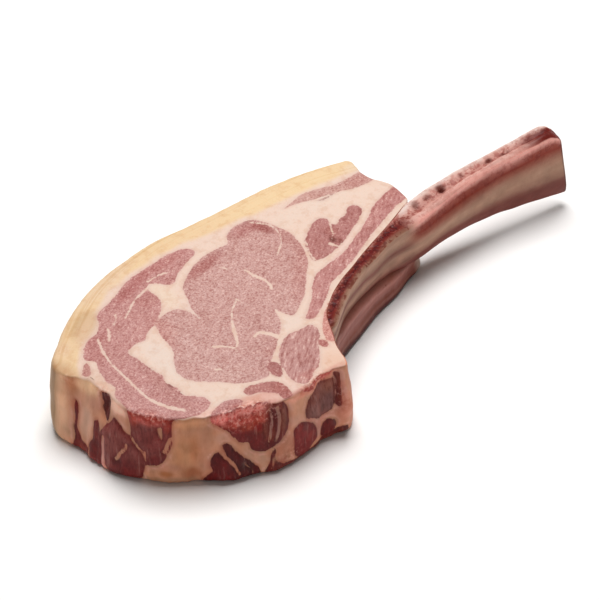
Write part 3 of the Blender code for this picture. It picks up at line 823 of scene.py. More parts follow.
sawn_lean_colour = sawn_lean_colour * (1 + 0.35 * mottled)[:, None]
# Lean is darkest where it meets fat.
dark_rim = 0.45 * np.exp(-((np.maximum(sawn_lean, 0) / 1.3) ** 2))[:, None]
sawn_lean_colour = sawn_lean_colour * (1 - dark_rim * (0.5, 0.9, 0.9))
sawn_fat_colour = tinted(np.tile(linear(SAWN_FAT), (len(sawn), 1)), wandered, SAWN_FAT_PATCHES)
streaky = lattice_noise(end_points * (1, 1, 0.3), 4.0, 33)
sawn_fat_colour = sawn_fat_colour * (1 + 0.16 * mottled + 0.12 * streaky)[:, None]
near_lean = np.exp(np.minimum(sawn_lean, 0) / 1.6)
stained = (0.5 * near_lean * smooth_step(-0.3, 0.5, mottled + streaky))[:, None]
sawn_fat_colour = sawn_fat_colour * (1 - stained) + linear(BLOOD_STAIN) * stained
beside_lean = np.exp(-(((sawn_lean + 1.6) / 0.8) ** 2))
membrane_line = (0.45 * beside_lean * smooth_step(0.2, -0.4, mottled))[:, None]
sawn_fat_colour = sawn_fat_colour * (1 - membrane_line) + linear(PALE_SKIN) * membrane_line
sawn_lean_colour = in_shade(sawn_lean_colour, sawn_light)
sawn_fat_colour = in_shade(sawn_fat_colour, sawn_light)
sawn_tissue = (sawn_lean, sawn_lean_colour, sawn_fat_colour, np.full(len(sawn), 0.5))
at_rim = smooth_step(0.4, 0.9, sawn_up + 0.15 * lattice_noise(below_points[sawn], 5, 9))
at_ends = np.maximum(1 - smooth_step(-3, 4, run[sawn]), at_rim)
sawn_tissue = mixed(sawn_tissue, tuple(part[sawn] for part in wall_tissue), at_ends)

# %% [markdown]
# ## Tissue of the wall under the rib
#
# Under the rib the meat is covered by a thin grey-pink skin in strands along the bone. Its tones lie in
# bands from the foot up to the fold where it meets the rib. The bands also hold painted shade and a
# painted highlight: the darkest tones at the foot by the floor and in a line low on the wall, the lightest on
# the fold.

# %% Tissue of the wall under the rib
under = np.flatnonzero(side == 1)
strand = lattice_noise(below_points[under] * (0.10, 0.10, 1.0), 1.8, 11)
level = height[under] / np.interp(below_points[under, 0], LEDGE_X, LEDGE_Z)
# Partly painted shade and a painted highlight: darkest at the foot and in a darker line near 0.46, lightest
# on the fold at 1.0.
SKIN_BANDS_AND_PAINTED_SHADE = ([0.0, 0.22, 0.34, 0.46, 0.6, 0.8, 1.0, 1.25], [  # from the foot up to the fold and past it
    (76, 42, 36), (88, 52, 45), (130, 88, 80), (116, 72, 64), (136, 91, 84), (134, 89, 82),
    (148, 102, 94), (112, 72, 63),
])
SKIN_PATCHES = [
    (0, 20, 8, 60, 0, (176, 120, 100), 1.0), (14, 30, 12, 22, 0, (138, 91, 82), 0.7),
    (137, 8, 6, 8, 0, (122, 78, 70), 0.7),
]
on_wall = np.column_stack([run[under], height[under]])
# The skin's colour from the bands, their painted shade and painted highlight included.
skin_and_painted_shade = banded(SKIN_BANDS_AND_PAINTED_SHADE, level + 0.07 * strand) * (1 + 0.25 * strand)[:, None]
skin_and_painted_shade = tinted(skin_and_painted_shade, on_wall, SKIN_PATCHES)
membrane_and_painted_shade = (
    -1.0 + 1.3 * strand,
    in_shade(skin_and_painted_shade * 0.8, UNDER_LIGHT, SKIN_SHINE),
    in_shade(skin_and_painted_shade, UNDER_LIGHT, SKIN_SHINE),
    np.full(len(under), 0.3),
)
at_tail = smooth_step(135, 143, run[under])
membrane_and_painted_shade = mixed(membrane_and_painted_shade, tuple(part[under] for part in wall_tissue), at_tail)
for whole, on_end, on_rib in zip(wall_tissue, sawn_tissue, membrane_and_painted_shade):
    whole[sawn], whole[under] = on_end, on_rib

lean_edge, lean_colour, fat_colour, striped = (
    np.concatenate(parts) for parts in zip(upper_tissue, wall_tissue, lower_tissue)
)
lean_colour, fat_colour = lean_colour / FACE_LIGHT, fat_colour / FACE_LIGHT
print("share of the surface that is lean:", round(float((lean_edge > 0).mean()), 3))

# %% [markdown]
# ## Relief
#
# A cut face isn't flat: it swells towards the middle, the seams between muscles sink, and the ragged
# edge of a saw cut stands out. The shape is moved here, and the material's bump adds only the fine grain.

# %% Raise and sink the surface
SWELL = 1.5
u = np.linspace(-1, 1, ALONG + 1)[:, None]
v = np.linspace(-1, 1, ACROSS + 1)[None, :]
swell = SWELL * ((1 - u**4) * (1 - v**4)).reshape(-1)
inset = smooth_step(0, 0.06, 1 - np.maximum(np.abs(u), np.abs(v))).reshape(-1)
seam_dip = np.exp(-((upper_tissue[0] / 0.9) ** 2)) * 0.12
grain = 0.22 * lattice_noise(upper_points, 7, 12) + 0.12 * lattice_noise(upper_points, 2.6, 13)
flesh_points[: len(upper_points), 2] += swell + inset * (
    grain - 0.10 * smooth_step(-0.5, 2.5, upper_tissue[0]) - seam_dip
)

RAGGED = [  # along the end wall and height, two radii, amount: where the saw left deeper ridges
    (105, 41, 18, 7, 1.5), (60, 43, 15, 5, 0.6), (103, 12, 16, 12, 0.8), (20, 18, 14, 20, 0.5),
]
DENTS_AND_LUMPS = [
    (32, 40, 2.6, 7, -2.2),  # the knife's notch
    (130.5, 40, 2.5, 8, -1.5),
    (168, 20, 5, 9, 3.6),  # a lump by the corner
    (162.5, 34, 1.6, 10, -1.2),
]
TORN = [  # along the end wall and height, two radii, amount: where the cut is ragged and wet
    (60, 44.5, 13, 3.2, 0.8), (100, 43.5, 10, 4.5, 1.0), (113, 43, 10, 6, 1.0), (104, 38, 8, 4, 0.7),
    (118, 38, 6, 4, 0.7), (150, 44.5, 12, 2.6, 0.9), (29, 45, 3.5, 3, 0.7), (131, 9, 6, 5, 0.6),
    (165, 26, 4, 8, 0.5), (8, 44, 6, 3, 0.4),
]


def humps(run, height, table):
    """Sum of round humps on the unrolled wall: amount times exp(-(distance over its two radii)^2)."""
    return sum(
        amount * np.exp(-(((run - s) / wide) ** 2 + ((height - z) / high) ** 2))
        for s, z, wide, high, amount in table
    )


def torn_at(run, height):
    """How torn the cut is at a place on the unrolled wall, from 0 to 1."""
    return np.clip(humps(run, height, TORN), 0, 1)


end_line = outer[:ACROSS:3]
to_end, end_share = line_distance(upper_points[:, :2], end_line, 8.0)
end_column = np.minimum((end_share * len(end_line) * 3).astype(int), ACROSS - 1)
near_end = np.exp(-((to_end / 3.0) ** 2)) * (to_end < 8.0)
torn_top = torn_at(column_run[end_column], THICKNESS) * near_end
flesh_points[: len(upper_points), 2] += torn_top * (0.3 + 1.0 * lattice_noise(upper_points, 2.6, 35))
torn_sideways = torn_top * (0.3 + 1.1 * lattice_noise(upper_points, 2.2, 36))
flesh_points[: len(upper_points), :2] += torn_sideways[:, None] * away[end_column]

torn_column = torn_at(column_run, THICKNESS) * (side_of_column == 0)
row_inward = np.array([rim * (1 - np.cos(a)) for a in rim_turns[1:]] + [0 * rim] * len(shares_down))
under_rim = np.maximum(THICKNESS - rim - below[..., 2], 0)
row_torn = torn_column * np.exp(-((row_inward / 3) ** 2) - (under_rim / 5) ** 2)
ring_place = np.column_stack([wall[0, :, :2], np.full(N, THICKNESS)])
torn_up = (row_torn * (0.3 + 1.0 * lattice_noise(ring_place, 2.6, 35))).ravel()
torn_out = (row_torn * (0.3 + 1.1 * lattice_noise(ring_place, 2.2, 36))).ravel()
torn = np.concatenate([torn_top, torn_at(run, height) * (side == 0), np.zeros(len(lower_points))])

ragged = humps(run, height, RAGGED) * (side == 0)
ridges = lattice_noise(below_points * (1, 1, 0.35), 3.4, 14)
lumps = lattice_noise(below_points, 12, 15)
proud = (
    0.35 * smooth_step(-1.0, 3.0, wall_tissue[0]) - 0.3 * np.exp(-((wall_tissue[0] / 1.1) ** 2))
    + 0.5 * lumps + (0.25 + ragged) * ridges
)
proud += humps(run, height, DENTS_AND_LUMPS) * (side == 0)
proud *= smooth_step(0.0, 4.0, height)
proud *= np.where(height > 43.5, np.clip((46.0 - height) / 2.5, 0, 1), 1)
proud = np.where((side == 1) & (height > 10), 0.35 * proud, proud)
outwards = np.tile(away, (len(below), 1))
flesh_points[first_wall:first_lower, :2] += (proud + torn_out)[:, None] * outwards
flesh_points[first_wall:first_lower, 2] += torn_up


# %% [markdown]
# ## From arrays to a mesh
#
# Blender can take a whole mesh at once from a list of points and a list of faces. Values that belong to
# points, such as the distance to the lean, are stored as attributes, which a material can read by name.

# %% Build the flesh
def new_mesh(name, points, faces, numbers=(), colours=()):
    """A smooth mesh in metres from drawing millimetres, with values and colours on its points."""
    mesh = bpy.data.meshes.new(name)
    mesh.from_pydata(to_metres(points), [], faces)
    mesh.update()
    mesh.polygons.foreach_set("use_smooth", np.ones(len(mesh.polygons), bool))
    for label, values in numbers:
        mesh.attributes.new(label, "FLOAT", "POINT").data.foreach_set("value", np.asarray(values, np.float32))
    for label, values in colours:
        layer = mesh.attributes.new(label, "FLOAT_COLOR", "POINT")
        opaque = np.column_stack([values, np.ones(len(values))])
        layer.data.foreach_set("color", opaque.astype(np.float32).ravel())
    piece = bpy.data.objects.new(name, mesh)
    bpy.context.scene.collection.objects.link(piece)
    return piece


faces = [
    *grid_faces(np.arange(len(upper_points)).reshape(upper.shape[:2])).tolist(),
    *grid_faces(wrapped).tolist(),
    *grid_faces(lower_numbers, flip=True).tolist(),
    *np.column_stack([fine_a, coarse_a, fine_b]).tolist(),
    *np.column_stack([fine_b, coarse_a, coarse_b]).tolist(),
    *np.column_stack([fine_b, coarse_b, fine_c]).tolist(),
]
marbling = np.concatenate([
    np.ones(len(upper_points)),
    np.where(side == 0, smooth_step(43.8, 45.6, height), np.where(side == 1, 0.0, 0.45)),
    np.full(len(lower_points), 0.8),
])
from_rind = line_distance(flesh_points[:, :2], FAT_SIDE[::3] + FAT_SIDE[-1:], 26.0)[0]
flesh = new_mesh(
    "flesh", flesh_points, faces,
    numbers=[
        ("lean_edge", np.clip(lean_edge, -9, 12)), ("striped", striped), ("marbling", marbling),
        ("from_rind", from_rind), ("torn", torn),
    ],
    colours=[("lean_colour", lean_colour), ("fat_colour", fat_colour)],
)
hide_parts("meat", "fat_cap")
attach(flesh, "root")
print("flesh:", len(flesh.data.polygons), "faces")

# %% [markdown]
# ## Writing materials as expressions
#
# A material is a graph of nodes. The class below wraps one socket so that `1 - mask` or `a * b + c` adds
# the Math nodes by itself, and its `node` method makes any other kind of node.


# %% A socket in a material
class Signal:
    """One output socket of a material's graph; arithmetic on it adds Math nodes."""

    def __init__(self, tree, socket):
        self.tree, self.socket = tree, socket

    def node(self, kind, settings=None, inputs=None, out=0):
        """Adds a node of any type: its settings first, then the values or links of its sockets."""
        node = self.tree.nodes.new("ShaderNode" + kind)
        for label, value in (settings or {}).items():
            setattr(node, label, value)
        for label, value in (inputs or {}).items():
            if isinstance(value, Signal):
                self.tree.links.new(value.socket, node.inputs[label])
            else:
                node.inputs[label].default_value = value
        return Signal(self.tree, node.outputs[out])

    def maths(self, operation, first, second):
        """One Math node on two values."""
        return self.node("Math", {"operation": operation}, {0: first, 1: second})

    def __add__(self, other):
        return self.maths("ADD", self, other)

    def __sub__(self, other):
        return self.maths("SUBTRACT", self, other)

    def __mul__(self, other):
        return self.maths("MULTIPLY", self, other)

    def __rsub__(self, other):
        return self.maths("SUBTRACT", other, self)

    __radd__, __rmul__ = __add__, __mul__

    def step(self, low, high):
        """0 below low, 1 above high, smooth between."""
        settings = {"interpolation_type": "SMOOTHSTEP", "clamp": True}
        return self.node("MapRange", settings, {"Value": self, "From Min": low, "From Max": high})

    def mix(self, first, second):
        """The first colour where this is 0, the second where it is 1."""
        return self.node("Mix", {"data_type": "RGBA"}, {0: self, 6: first, 7: second}, out=2)

    def mixed(self, other, share):
        """This colour with a share of another in it."""
        return self.node("Mix", {"data_type": "RGBA"}, {0: share, 6: self, 7: other}, out=2)

    def times(self, other):
        """This colour multiplied by another."""
        settings = {"data_type": "RGBA", "blend_type": "MULTIPLY"}
        return self.node("Mix", settings, {0: 1.0, 6: self, 7: other}, out=2)

    def noise(self, size, detail=2.0, stretch=(1, 1, 1), roughness=0.5):
        """Cloudy values round 0.5 on this point's place in millimetres, about `size` across."""
        place = self.node("VectorMath", {"operation": "MULTIPLY"}, {0: self, 1: stretch})
        inputs = {"Vector": place, "Scale": 1 / size, "Detail": detail, "Roughness": roughness}
        return self.node("TexNoise", None, inputs)


def new_material(name, roughness, coat, scatter, scatter_radius):
    """An empty material; gives it, its shader node and the place in millimetres to draw from."""
    material = bpy.data.materials.new(name)
    material.use_nodes = True
    shader = material.node_tree.nodes["Principled BSDF"]
    shader.inputs["Roughness"].default_value = roughness
    shader.inputs["Coat Weight"].default_value = coat
    shader.inputs["Coat Roughness"].default_value = 0.25
    shader.inputs["Specular IOR Level"].default_value = 0.16
    shader.inputs["Subsurface Weight"].default_value = scatter
    shader.inputs["Subsurface Radius"].default_value = (1.0, 0.45, 0.3)
    shader.inputs["Subsurface Scale"].default_value = scatter_radius
    object_place = Signal(material.node_tree, None).node("TexCoord", out=3)
    place = object_place.node("VectorMath", {"operation": "SCALE"}, {0: object_place, "Scale": 1 / MM})
    return material, shader, place


def wire(shader, label, signal):
    """Joins a signal to one socket of a shader."""
    signal.tree.links.new(signal.socket, shader.inputs[label])


def rgb(*colour):
    """A screen colour from 0 to 255 as the four numbers that a colour socket holds."""
    return (*(float(c) for c in linear(colour)), 1.0)


# %% [markdown]
# ## Meat and fat
#
# The edge of the lean is where the carried distance crosses zero, once a little noise has roughened it.
# Lean has a fine grain with pale flecks of marbling; fat has faint lobes.

# %% The flesh's material
def meat_and_fat():
    """Marbled lean where the frayed distance is above zero, layered fat where it is below."""
    material, shader, place = new_material("meat_and_fat", 0.5, 0.0, 0.03, 0.002)
    edge = place.node("Attribute", {"attribute_name": "lean_edge"}, out=2)
    lean_tone = place.node("Attribute", {"attribute_name": "lean_colour"})
    fat_tone = place.node("Attribute", {"attribute_name": "fat_colour"})
    striped = place.node("Attribute", {"attribute_name": "striped"}, out=2)
    marbling = place.node("Attribute", {"attribute_name": "marbling"}, out=2)
    from_rind = place.node("Attribute", {"attribute_name": "from_rind"}, out=2)
    upright = (1, 1, 0.22)  # fibres on the end wall stand upright
    frayed = edge + (place.noise(1.5, 3.0, upright) - 0.5) * 1.5
    frayed = frayed + (place.noise(4.5, 2.0, upright) - 0.5) * 1.6
    is_lean = frayed.step(-0.30, 0.40)

    fibre_turn = float(np.radians(-38))
    slanted = place.node("VectorRotate", {"rotation_type": "Z_AXIS"}, {"Vector": place, "Angle": fibre_turn})
    mottle = place.noise(1.05, 3.0, (1, 1, 0.3), 0.7)
    streaks = slanted.noise(1.5, 2.5, (0.28, 1.0, 0.3), 0.6)
    grain = mottle * (1 - striped * 0.7) + streaks * (striped * 0.7)
    pale = lean_tone.mixed(rgb(252, 226, 212), 0.50)
    deep = lean_tone.times(rgb(214, 186, 183))
    marbled = grain.step(0.36, 0.52).mix(deep, lean_tone)
    marbled = (grain.step(0.53, 0.68) * (0.08 + marbling * 0.52)).mix(marbled, pale)
    broad = place.noise(7.0, 3.0, (1, 1, 0.4), 0.6)
    marbled = (broad.step(0.50, 0.66) * 0.35).mix(marbled, marbled.times(rgb(226, 204, 200)))
    fibres = place.noise(2.4, 3.0, (1, 1, 0.10), 0.6).step(0.56, 0.70) * (1 - marbling) * 0.35
    marbled = fibres.mix(marbled, marbled.mixed(rgb(206, 160, 148), 0.5))

    creases = from_rind.node("CombineXYZ", None, {0: from_rind, 1: 0.0, 2: 0.0})
    along = place.node("VectorMath", {"operation": "MULTIPLY"}, {0: place, 1: (0.05, 0.05, 0.05)})
    layered = creases.node("VectorMath", {"operation": "ADD"}, {0: creases, 1: along})
    layers = layered.noise(1.9, 2.0, roughness=0.55)
    near_rind = from_rind.step(16.0, 7.0)
    fatty = (layers.step(0.50, 0.62) * near_rind * 0.55).mix(fat_tone, fat_tone.times(rgb(238, 226, 206)))
    lobes = place.noise(5.0, 4.0, (1.0, 1.0, 0.35), 0.62)
    fatty = (lobes.step(0.48, 0.66) * 0.5).mix(fatty, fatty.times(rgb(240, 225, 214)))
    fatty = (edge.step(-2.4, -0.1) * 0.55).mix(fatty, fatty.mixed(lean_tone, 0.35))
    fatty = (mottle.step(0.52, 0.70) * 0.25).mix(fatty, fatty.times(rgb(234, 214, 200)))
    torn = place.node("Attribute", {"attribute_name": "torn"}, out=2)
    clumps = place.noise(1.9, 3.0, roughness=0.6)
    fleshy = is_lean.mix(fatty, marbled)
    shreds = (clumps.step(0.50, 0.40) * torn).mix(fleshy, fleshy.times((0.80, 0.46, 0.43, 1.0)))
    shreds = (clumps.step(0.53, 0.64) * torn * 0.85).mix(shreds, fleshy.mixed((1.0, 0.50, 0.42, 1.0), 0.55))
    wire(shader, "Base Color", shreds)
    wire(shader, "Roughness", 0.50 - is_lean * 0.06 - torn * 0.08 + (place.noise(2.0, 2.0) - 0.5) * 0.12)
    bumps = place.noise(1.2, 3.0, upright) * 0.45 + place.noise(4.0, 3.0, upright) * 0.5
    bumps = bumps + is_lean * 0.12 + layers * near_rind * 0.2 + clumps * torn * 1.2
    wire(shader, "Normal", place.node("Bump", None, {"Strength": 0.35, "Distance": 0.0006, "Height": bumps}))
    return material


flesh.data.materials.append(meat_and_fat())
flesh_material = flesh.data.materials[0]
print("material:", flesh_material.name, len(flesh_material.node_tree.nodes), "nodes")

# %% [markdown]
# ## The rib
#
# The rib is one section carried along a curve: full sides, a flat sawn top with two raised lips and a
# damp channel between them, and a rounder lower edge. Its free end is sawn across, with a rounded edge.

# %% Sweep the rib
RIB_STATIONS = [  # middle of the top x and y, thickness, top height, lower edge y and height
    (-36.5, -40.0, 6.0, 44.5, -40.0, 26.0), (-32.5, -37.0, 10.0, 46.0, -36.5, 22.0),
    (-24.0, -31.0, 9.8, 46.0, -30.0, 20.0), (-12.0, -23.3, 9.6, 46.0, -21.5, 19.0),
    (3.0, -16.2, 9.8, 46.0, -14.5, 18.0), (20.0, -10.6, 10.2, 46.0, -8.5, 16.0),
    (37.0, -5.4, 10.8, 46.0, -4.0, 14.0), (51.0, -2.6, 14.0, 46.0, -1.5, 11.5),
    (64.0, -1.4, 18.5, 46.8, 0.5, 10.0), (78.0, -0.6, 19.0, 48.4, 1.0, 11.5),
    (95.0, -0.7, 17.5, 51.2, -0.5, 14.0), (112.0, -1.2, 15.0, 53.0, -2.5, 15.0),
    (128.0, -1.2, 13.0, 54.0, -5.0, 14.5), (145.0, -3.0, 11.8, 56.0, -7.5, 12.5),
    (159.0, -5.0, 11.0, 58.2, -9.0, 10.0), (167.0, -6.3, 10.5, 58.6, -10.0, 9.0),
]
# How far the ridge lies inward and how much the top tilts, both from X to millimetres.
RIDGE_INWARD = ([50, 60, 70, 80, 95, 105, 118, 135, 150], [0, 2, 3.5, 4.0, 4.2, 3.3, 2.5, 0.6, 0])
TOP_TILT = ([135, 155], [0, 1.0])
TOP_ROUNDING, SIDE_FULLNESS, END_SLANT, END_ROUNDING, SLANT_STARTS = 2.4, 0.72, 0.22, 2.2, 120.0
PITS = [  # holes in the sawn top: X, place across, half length, half width, depth
    (86, 0.33, 2.2, 0.24, 1.8), (121.5, 0.2, 2, 0.22, 1.0), (133, 0.02, 3, 0.2, 0.8),
    (116, 0.2, 1.6, 0.2, 0.7),
]
ROUND, LENGTHWISE = 96, 420  # points round the rib and rings along it

stations = smooth_curve(RIB_STATIONS, 24)
walked = np.concatenate([[0], np.cumsum(np.linalg.norm(np.diff(stations[:, :2], axis=0), axis=1))])
even = np.linspace(0, walked[-1], LENGTHWISE)
stations = np.column_stack([np.interp(even, walked, c) for c in stations.T])
rx, ry, thick, top, low_y, low = (stations[:, [k]] for k in range(6))
direction = np.gradient(stations[:, :2], axis=0)
direction /= np.linalg.norm(direction, axis=1, keepdims=True)
sideways = np.column_stack([-direction[:, 1], direction[:, 0]])  # away from the inner curve

turn_angle = np.arange(ROUND) / ROUND * 2 * np.pi
turn_angle = turn_angle + 0.25 * np.sin(2 * turn_angle)  # more points where the section bends
cos, sin = np.cos(turn_angle)[None], np.sin(turn_angle)[None]
fullness = 0.5 + (SIDE_FULLNESS - 0.5) * smooth_step(44, 66, rx)
full_cos = np.sign(cos) * np.abs(cos) ** fullness
shoulder = top - TOP_ROUNDING
depth = np.where(sin < 0, -sin, 0.0)
across = full_cos * thick / 2 + depth * (low_y - ry)
rise = shoulder + np.where(sin > 0, TOP_ROUNDING * np.abs(sin) ** 0.6, 0.0) - depth * (shoulder - low)

free = smooth_step(48, 72, rx)
ending = 1 - smooth_step(158, 166, rx)
reach = across / (thick / 2)
channel = np.exp(-((reach - 0.12) / 0.40) ** 4) * (sin > 0.02) * ending
deepness = 0.5 + 0.5 * lattice_noise(np.dstack(np.broadcast_arrays(rx, 0 * reach, 0 * reach)), 9, 21)
before_tip = np.clip((rx - 159) / 8, 0, 1)
rounded_end = 6.0 * (1 - np.sqrt(1 - (0.93 * before_tip) ** 2))
on_the_top = smooth_step(0.25, 0.0, depth)
rise = rise - channel * (0.2 + free * (0.7 + 0.8 * deepness)) - rounded_end * on_the_top
rise = rise + np.interp(rx, *TOP_TILT) * np.clip(reach, -1, 1) * on_the_top
lip = np.exp(-((np.abs(reach - 0.1) - 0.72) / 0.22) ** 2) * (sin > 0.02) * ending
lip_wave = lattice_noise(np.dstack(np.broadcast_arrays(rx, 3 * reach, 0 * reach)), 6, 22)
rise = rise + lip * free * np.where(reach > 0, 0.3, 1.0) * (0.35 + 0.3 * lip_wave)
ridge_side = np.clip(-reach, 0, 1) * np.exp(-((depth / 0.22) ** 2))
across = across + np.interp(rx, *RIDGE_INWARD) * ridge_side
hollow = np.exp(-((depth - 0.45) / 0.28) ** 2) * (cos < 0)
across = across + hollow * 0.7
front_bead = 0.7 * np.exp(-(((depth - 0.15) / 0.05) ** 2)) * (cos < 0) * (sin < 0)
across = across + front_bead * smooth_step(60, 48, rx)

slant = END_SLANT * np.clip((rx - SLANT_STARTS) / (rx[-1] - SLANT_STARTS), 0, 1)
plan = np.stack([rx + across * sideways[:, [0]], ry + across * sideways[:, [1]]], axis=-1)
plan = plan + (slant * (top - rise))[..., None] * direction[:, None]
rib = np.dstack([plan, rise])

middle = rib.mean(axis=1, keepdims=True)
out_of_rib = rib - middle
out_of_rib /= np.linalg.norm(out_of_rib, axis=2, keepdims=True)
across_step, along_step = np.roll(rib, -1, axis=1) - np.roll(rib, 1, axis=1), np.gradient(rib, axis=0)
facing = np.cross(across_step, along_step)
facing /= np.linalg.norm(facing, axis=2, keepdims=True) * np.sign(np.sum(facing * out_of_rib))
rib_light = light_on(facing)
knobs = 0.35 * lattice_noise(rib * (0.35, 1, 1), 4.0, 23) + 0.25 * lattice_noise(rib * (0.12, 1, 1), 1.8, 24)
pits = lattice_noise(rib, 2.2, 25)
knobs = knobs - 0.8 * smooth_step(0.25, 0.6, pits) * channel * (0.35 + 0.65 * free)
for x, r, wide, high, sunk in PITS:
    knobs = knobs - sunk * np.exp(-(((rx - x) / wide) ** 2) - ((reach - r) / high) ** 2) * (sin > 0)
rib = rib + out_of_rib * knobs[..., None]

# %% [markdown]
# ## Closing the rib's ends
#
# A swept tube is open at both ends. Each end is closed by rings that turn round a small rounded edge and
# then shrink to one middle point, so that the sawn end is nearly flat with no sharp rim.

# %% Close the rib's ends
def end_rings(last, before, count, rounding):
    """Rings that shrink round a rounded edge and then to the middle, for closing a sweep's end."""
    on = (last - before).mean(axis=0)
    on /= np.linalg.norm(on)
    centre = last.mean(axis=0)
    size = np.linalg.norm(last - centre, axis=1, keepdims=True)
    rings = []
    for angle in np.radians([30, 60, 90]):
        share = 1 - rounding / size.mean() * (1 - np.cos(angle))
        rings.append(centre + (last - centre) * share + on * rounding * np.sin(angle))
    flat = rings[-1] - (centre + on * rounding)
    for share in np.linspace(1, 0, count + 1)[1:-1]:
        rings.append(centre + on * (rounding + 0.25 * (1 - share)) + flat * share)
    return rings, centre + on * (rounding + 0.25)


tip_rings, tip_pole = end_rings(rib[-1], rib[-6], 12, END_ROUNDING)
head_rings, head_pole = end_rings(rib[0], rib[5], 4, 0.8)
rings = np.array(head_rings[::-1] + list(rib) + tip_rings)
rib_points = np.concatenate([rings.reshape(-1, 3), [head_pole, tip_pole]])
number = np.arange(rings.shape[0] * ROUND).reshape(rings.shape[0], ROUND)
closed = np.hstack([number, number[:, :1]])
head, tip = len(rib_points) - 2, len(rib_points) - 1
rib_faces = grid_faces(closed, flip=True).tolist()
rib_faces += [(head, int(a), int(b)) for a, b in zip(closed[0, :-1], closed[0, 1:])]
rib_faces += [(tip, int(b), int(a)) for a, b in zip(closed[-1, :-1], closed[-1, 1:])]
print("rib grid:", rings.shape)

# %% [markdown]
# ## Colours of the rib
#
# A scraped rib isn't one colour. Down its front it runs from a pale lip through a line of blood to a
# grey-tan membrane and a dusky lower edge. Its sawn top is spongy bone with damp holes. Each of the two
# has one list of bands beyond the slab and one inside it, and noise makes the bands waver.

# %% Colour the rib
LIP, BLOOD, DARK_BLOOD = (222, 160, 148), (126, 56, 46), (106, 34, 31)
MEMBRANE, DUSK = (156, 121, 102), (106, 62, 56)
GRISTLE, SOFT_BONE, MARROW = (238, 217, 208), (226, 178, 166), (200, 144, 133)
# Down the front, from the ridge to the lower edge: beyond the slab, then inside it.
FREE_FRONT = ([0.0, 0.13, 0.22, 0.42, 0.58, 0.74, 0.90], [LIP, BLOOD, BLOOD, MEMBRANE, MEMBRANE, DUSK, DUSK])
SLAB_FRONT = ([0.0, 0.20, 0.38, 0.55, 0.85], [MEMBRANE, MEMBRANE, DUSK, MEMBRANE, DUSK])
# Across the sawn top, from the ridge to the back edge: beyond the slab, then inside it.
FREE_TOP = ([-1.0, -0.6, 0.0, 0.2, 0.45, 0.8], [LIP, SOFT_BONE, MARROW, MARROW, SOFT_BONE, GRISTLE])
SLAB_TOP = ([-1.0, -0.5, -0.1, 0.3, 0.7, 1.0], [MEMBRANE, BLOOD, DARK_BLOOD, BLOOD, MARROW, SOFT_BONE])
HOLE_TONE, FASCIA, BACK_SKIN = (100, 44, 38), (246, 212, 200), (196, 142, 126)
HOLES = [  # damp holes along the sawn top: X, place across, half length, half width, how dark
    (67, 0.42, 3.0, 0.25, 0.6), (76, 0.35, 3.0, 0.20, 0.5), (86, 0.33, 3.0, 0.28, 0.95),
    (101, 0.28, 2.5, 0.18, 0.5), (121.5, 0.20, 2.6, 0.24, 0.9), (133, 0.02, 4.0, 0.25, 0.7),
    (148, 0.00, 3.0, 0.20, 0.5),
]
TIP_DARKENS = (136, 158)  # the top turns dark towards the tip, from X to X


def blend(first, second, share):
    """Two grids of colours mixed: first (1 - share) + second share."""
    return first * (1 - share[..., None]) + second * share[..., None]


def flat(a, b):
    """Two grids of numbers as one list of points."""
    return np.column_stack([a.ravel(), b.ravel()])


along_x, down, over, around = (np.broadcast_to(v, reach.shape) for v in (rx, depth, reach, cos))
strands = lattice_noise(rib * (0.05, 0.05, 0.9), 1.5, 26)
wavy = np.clip(down + 0.03 * lattice_noise(rib * (0.3, 0.3, 1), 5, 28) + 0.012 * strands, 0, 1)
drifting = over + 0.16 * lattice_noise(rib * (0.6, 1, 1), 5, 29)
in_slab = 1 - smooth_step(46, 62, along_x)
blotches = lattice_noise(rib * (0.7, 1, 1), 4, 30)

front = blend(banded(FREE_FRONT, wavy), banded(SLAB_FRONT, wavy), in_slab)
front = front * (1 + (0.07 + 0.22 * in_slab) * strands + 0.12 * blotches)[..., None]
front = in_shade(front, rib_light)
sawn_top = blend(banded(FREE_TOP, drifting), banded(SLAB_TOP, drifting), in_slab)
near_tip = smooth_step(*TIP_DARKENS, along_x) * smooth_step(0.7, 0.3, drifting)
sawn_top = blend(sawn_top, sawn_top * 0 + linear(DARK_BLOOD), 0.95 * near_tip)
holes = [(x, across_top, length, width, 0, HOLE_TONE, share) for x, across_top, length, width, share in HOLES]
sawn_top = tinted(sawn_top.reshape(-1, 3), flat(along_x, drifting), holes).reshape(front.shape)
sawn_top = in_shade(sawn_top * 1.04, rib_light)
pale_lip = smooth_step(-0.62, -0.78, over) * smooth_step(58, 76, along_x)
fascia = smooth_step(0.74, 0.9, over) * (1 - smooth_step(54, 64, along_x))
sawn_top = blend(sawn_top, sawn_top * 0 + linear(FASCIA), 0.92 * fascia)
upwards = np.broadcast_to(sin, reach.shape) + 0.10 * lattice_noise(rib, 4, 27) + 0.15 * (around > 0)
on_top = smooth_step(0.22, 0.48, upwards)
rib_colour = blend(front, sawn_top, on_top)
behind = smooth_step(-0.1, 0.3, around) * (1 - on_top)
rib_colour = blend(rib_colour, rib_colour * 0 + linear(BACK_SKIN), 0.6 * behind) / FACE_LIGHT
under_ridge = np.exp(-(((down - 0.13) / 0.10) ** 2)) * (around < 0) * (1 - in_slab)
bloody_top = 0.24 + 0.3 * channel + 0.4 * in_slab - 0.15 * pale_lip
bloody = 0.08 + 0.4 * under_ridge * (1 - on_top) + on_top * bloody_top



def with_ends(values):
    """Values of the rib's rings, carried on unchanged over the rings that close its two ends."""
    at_head = np.repeat(values[:1], len(head_rings), axis=0)
    at_tip = np.repeat(values[-1:], len(tip_rings), axis=0)
    return np.concatenate([at_head, values, at_tip])


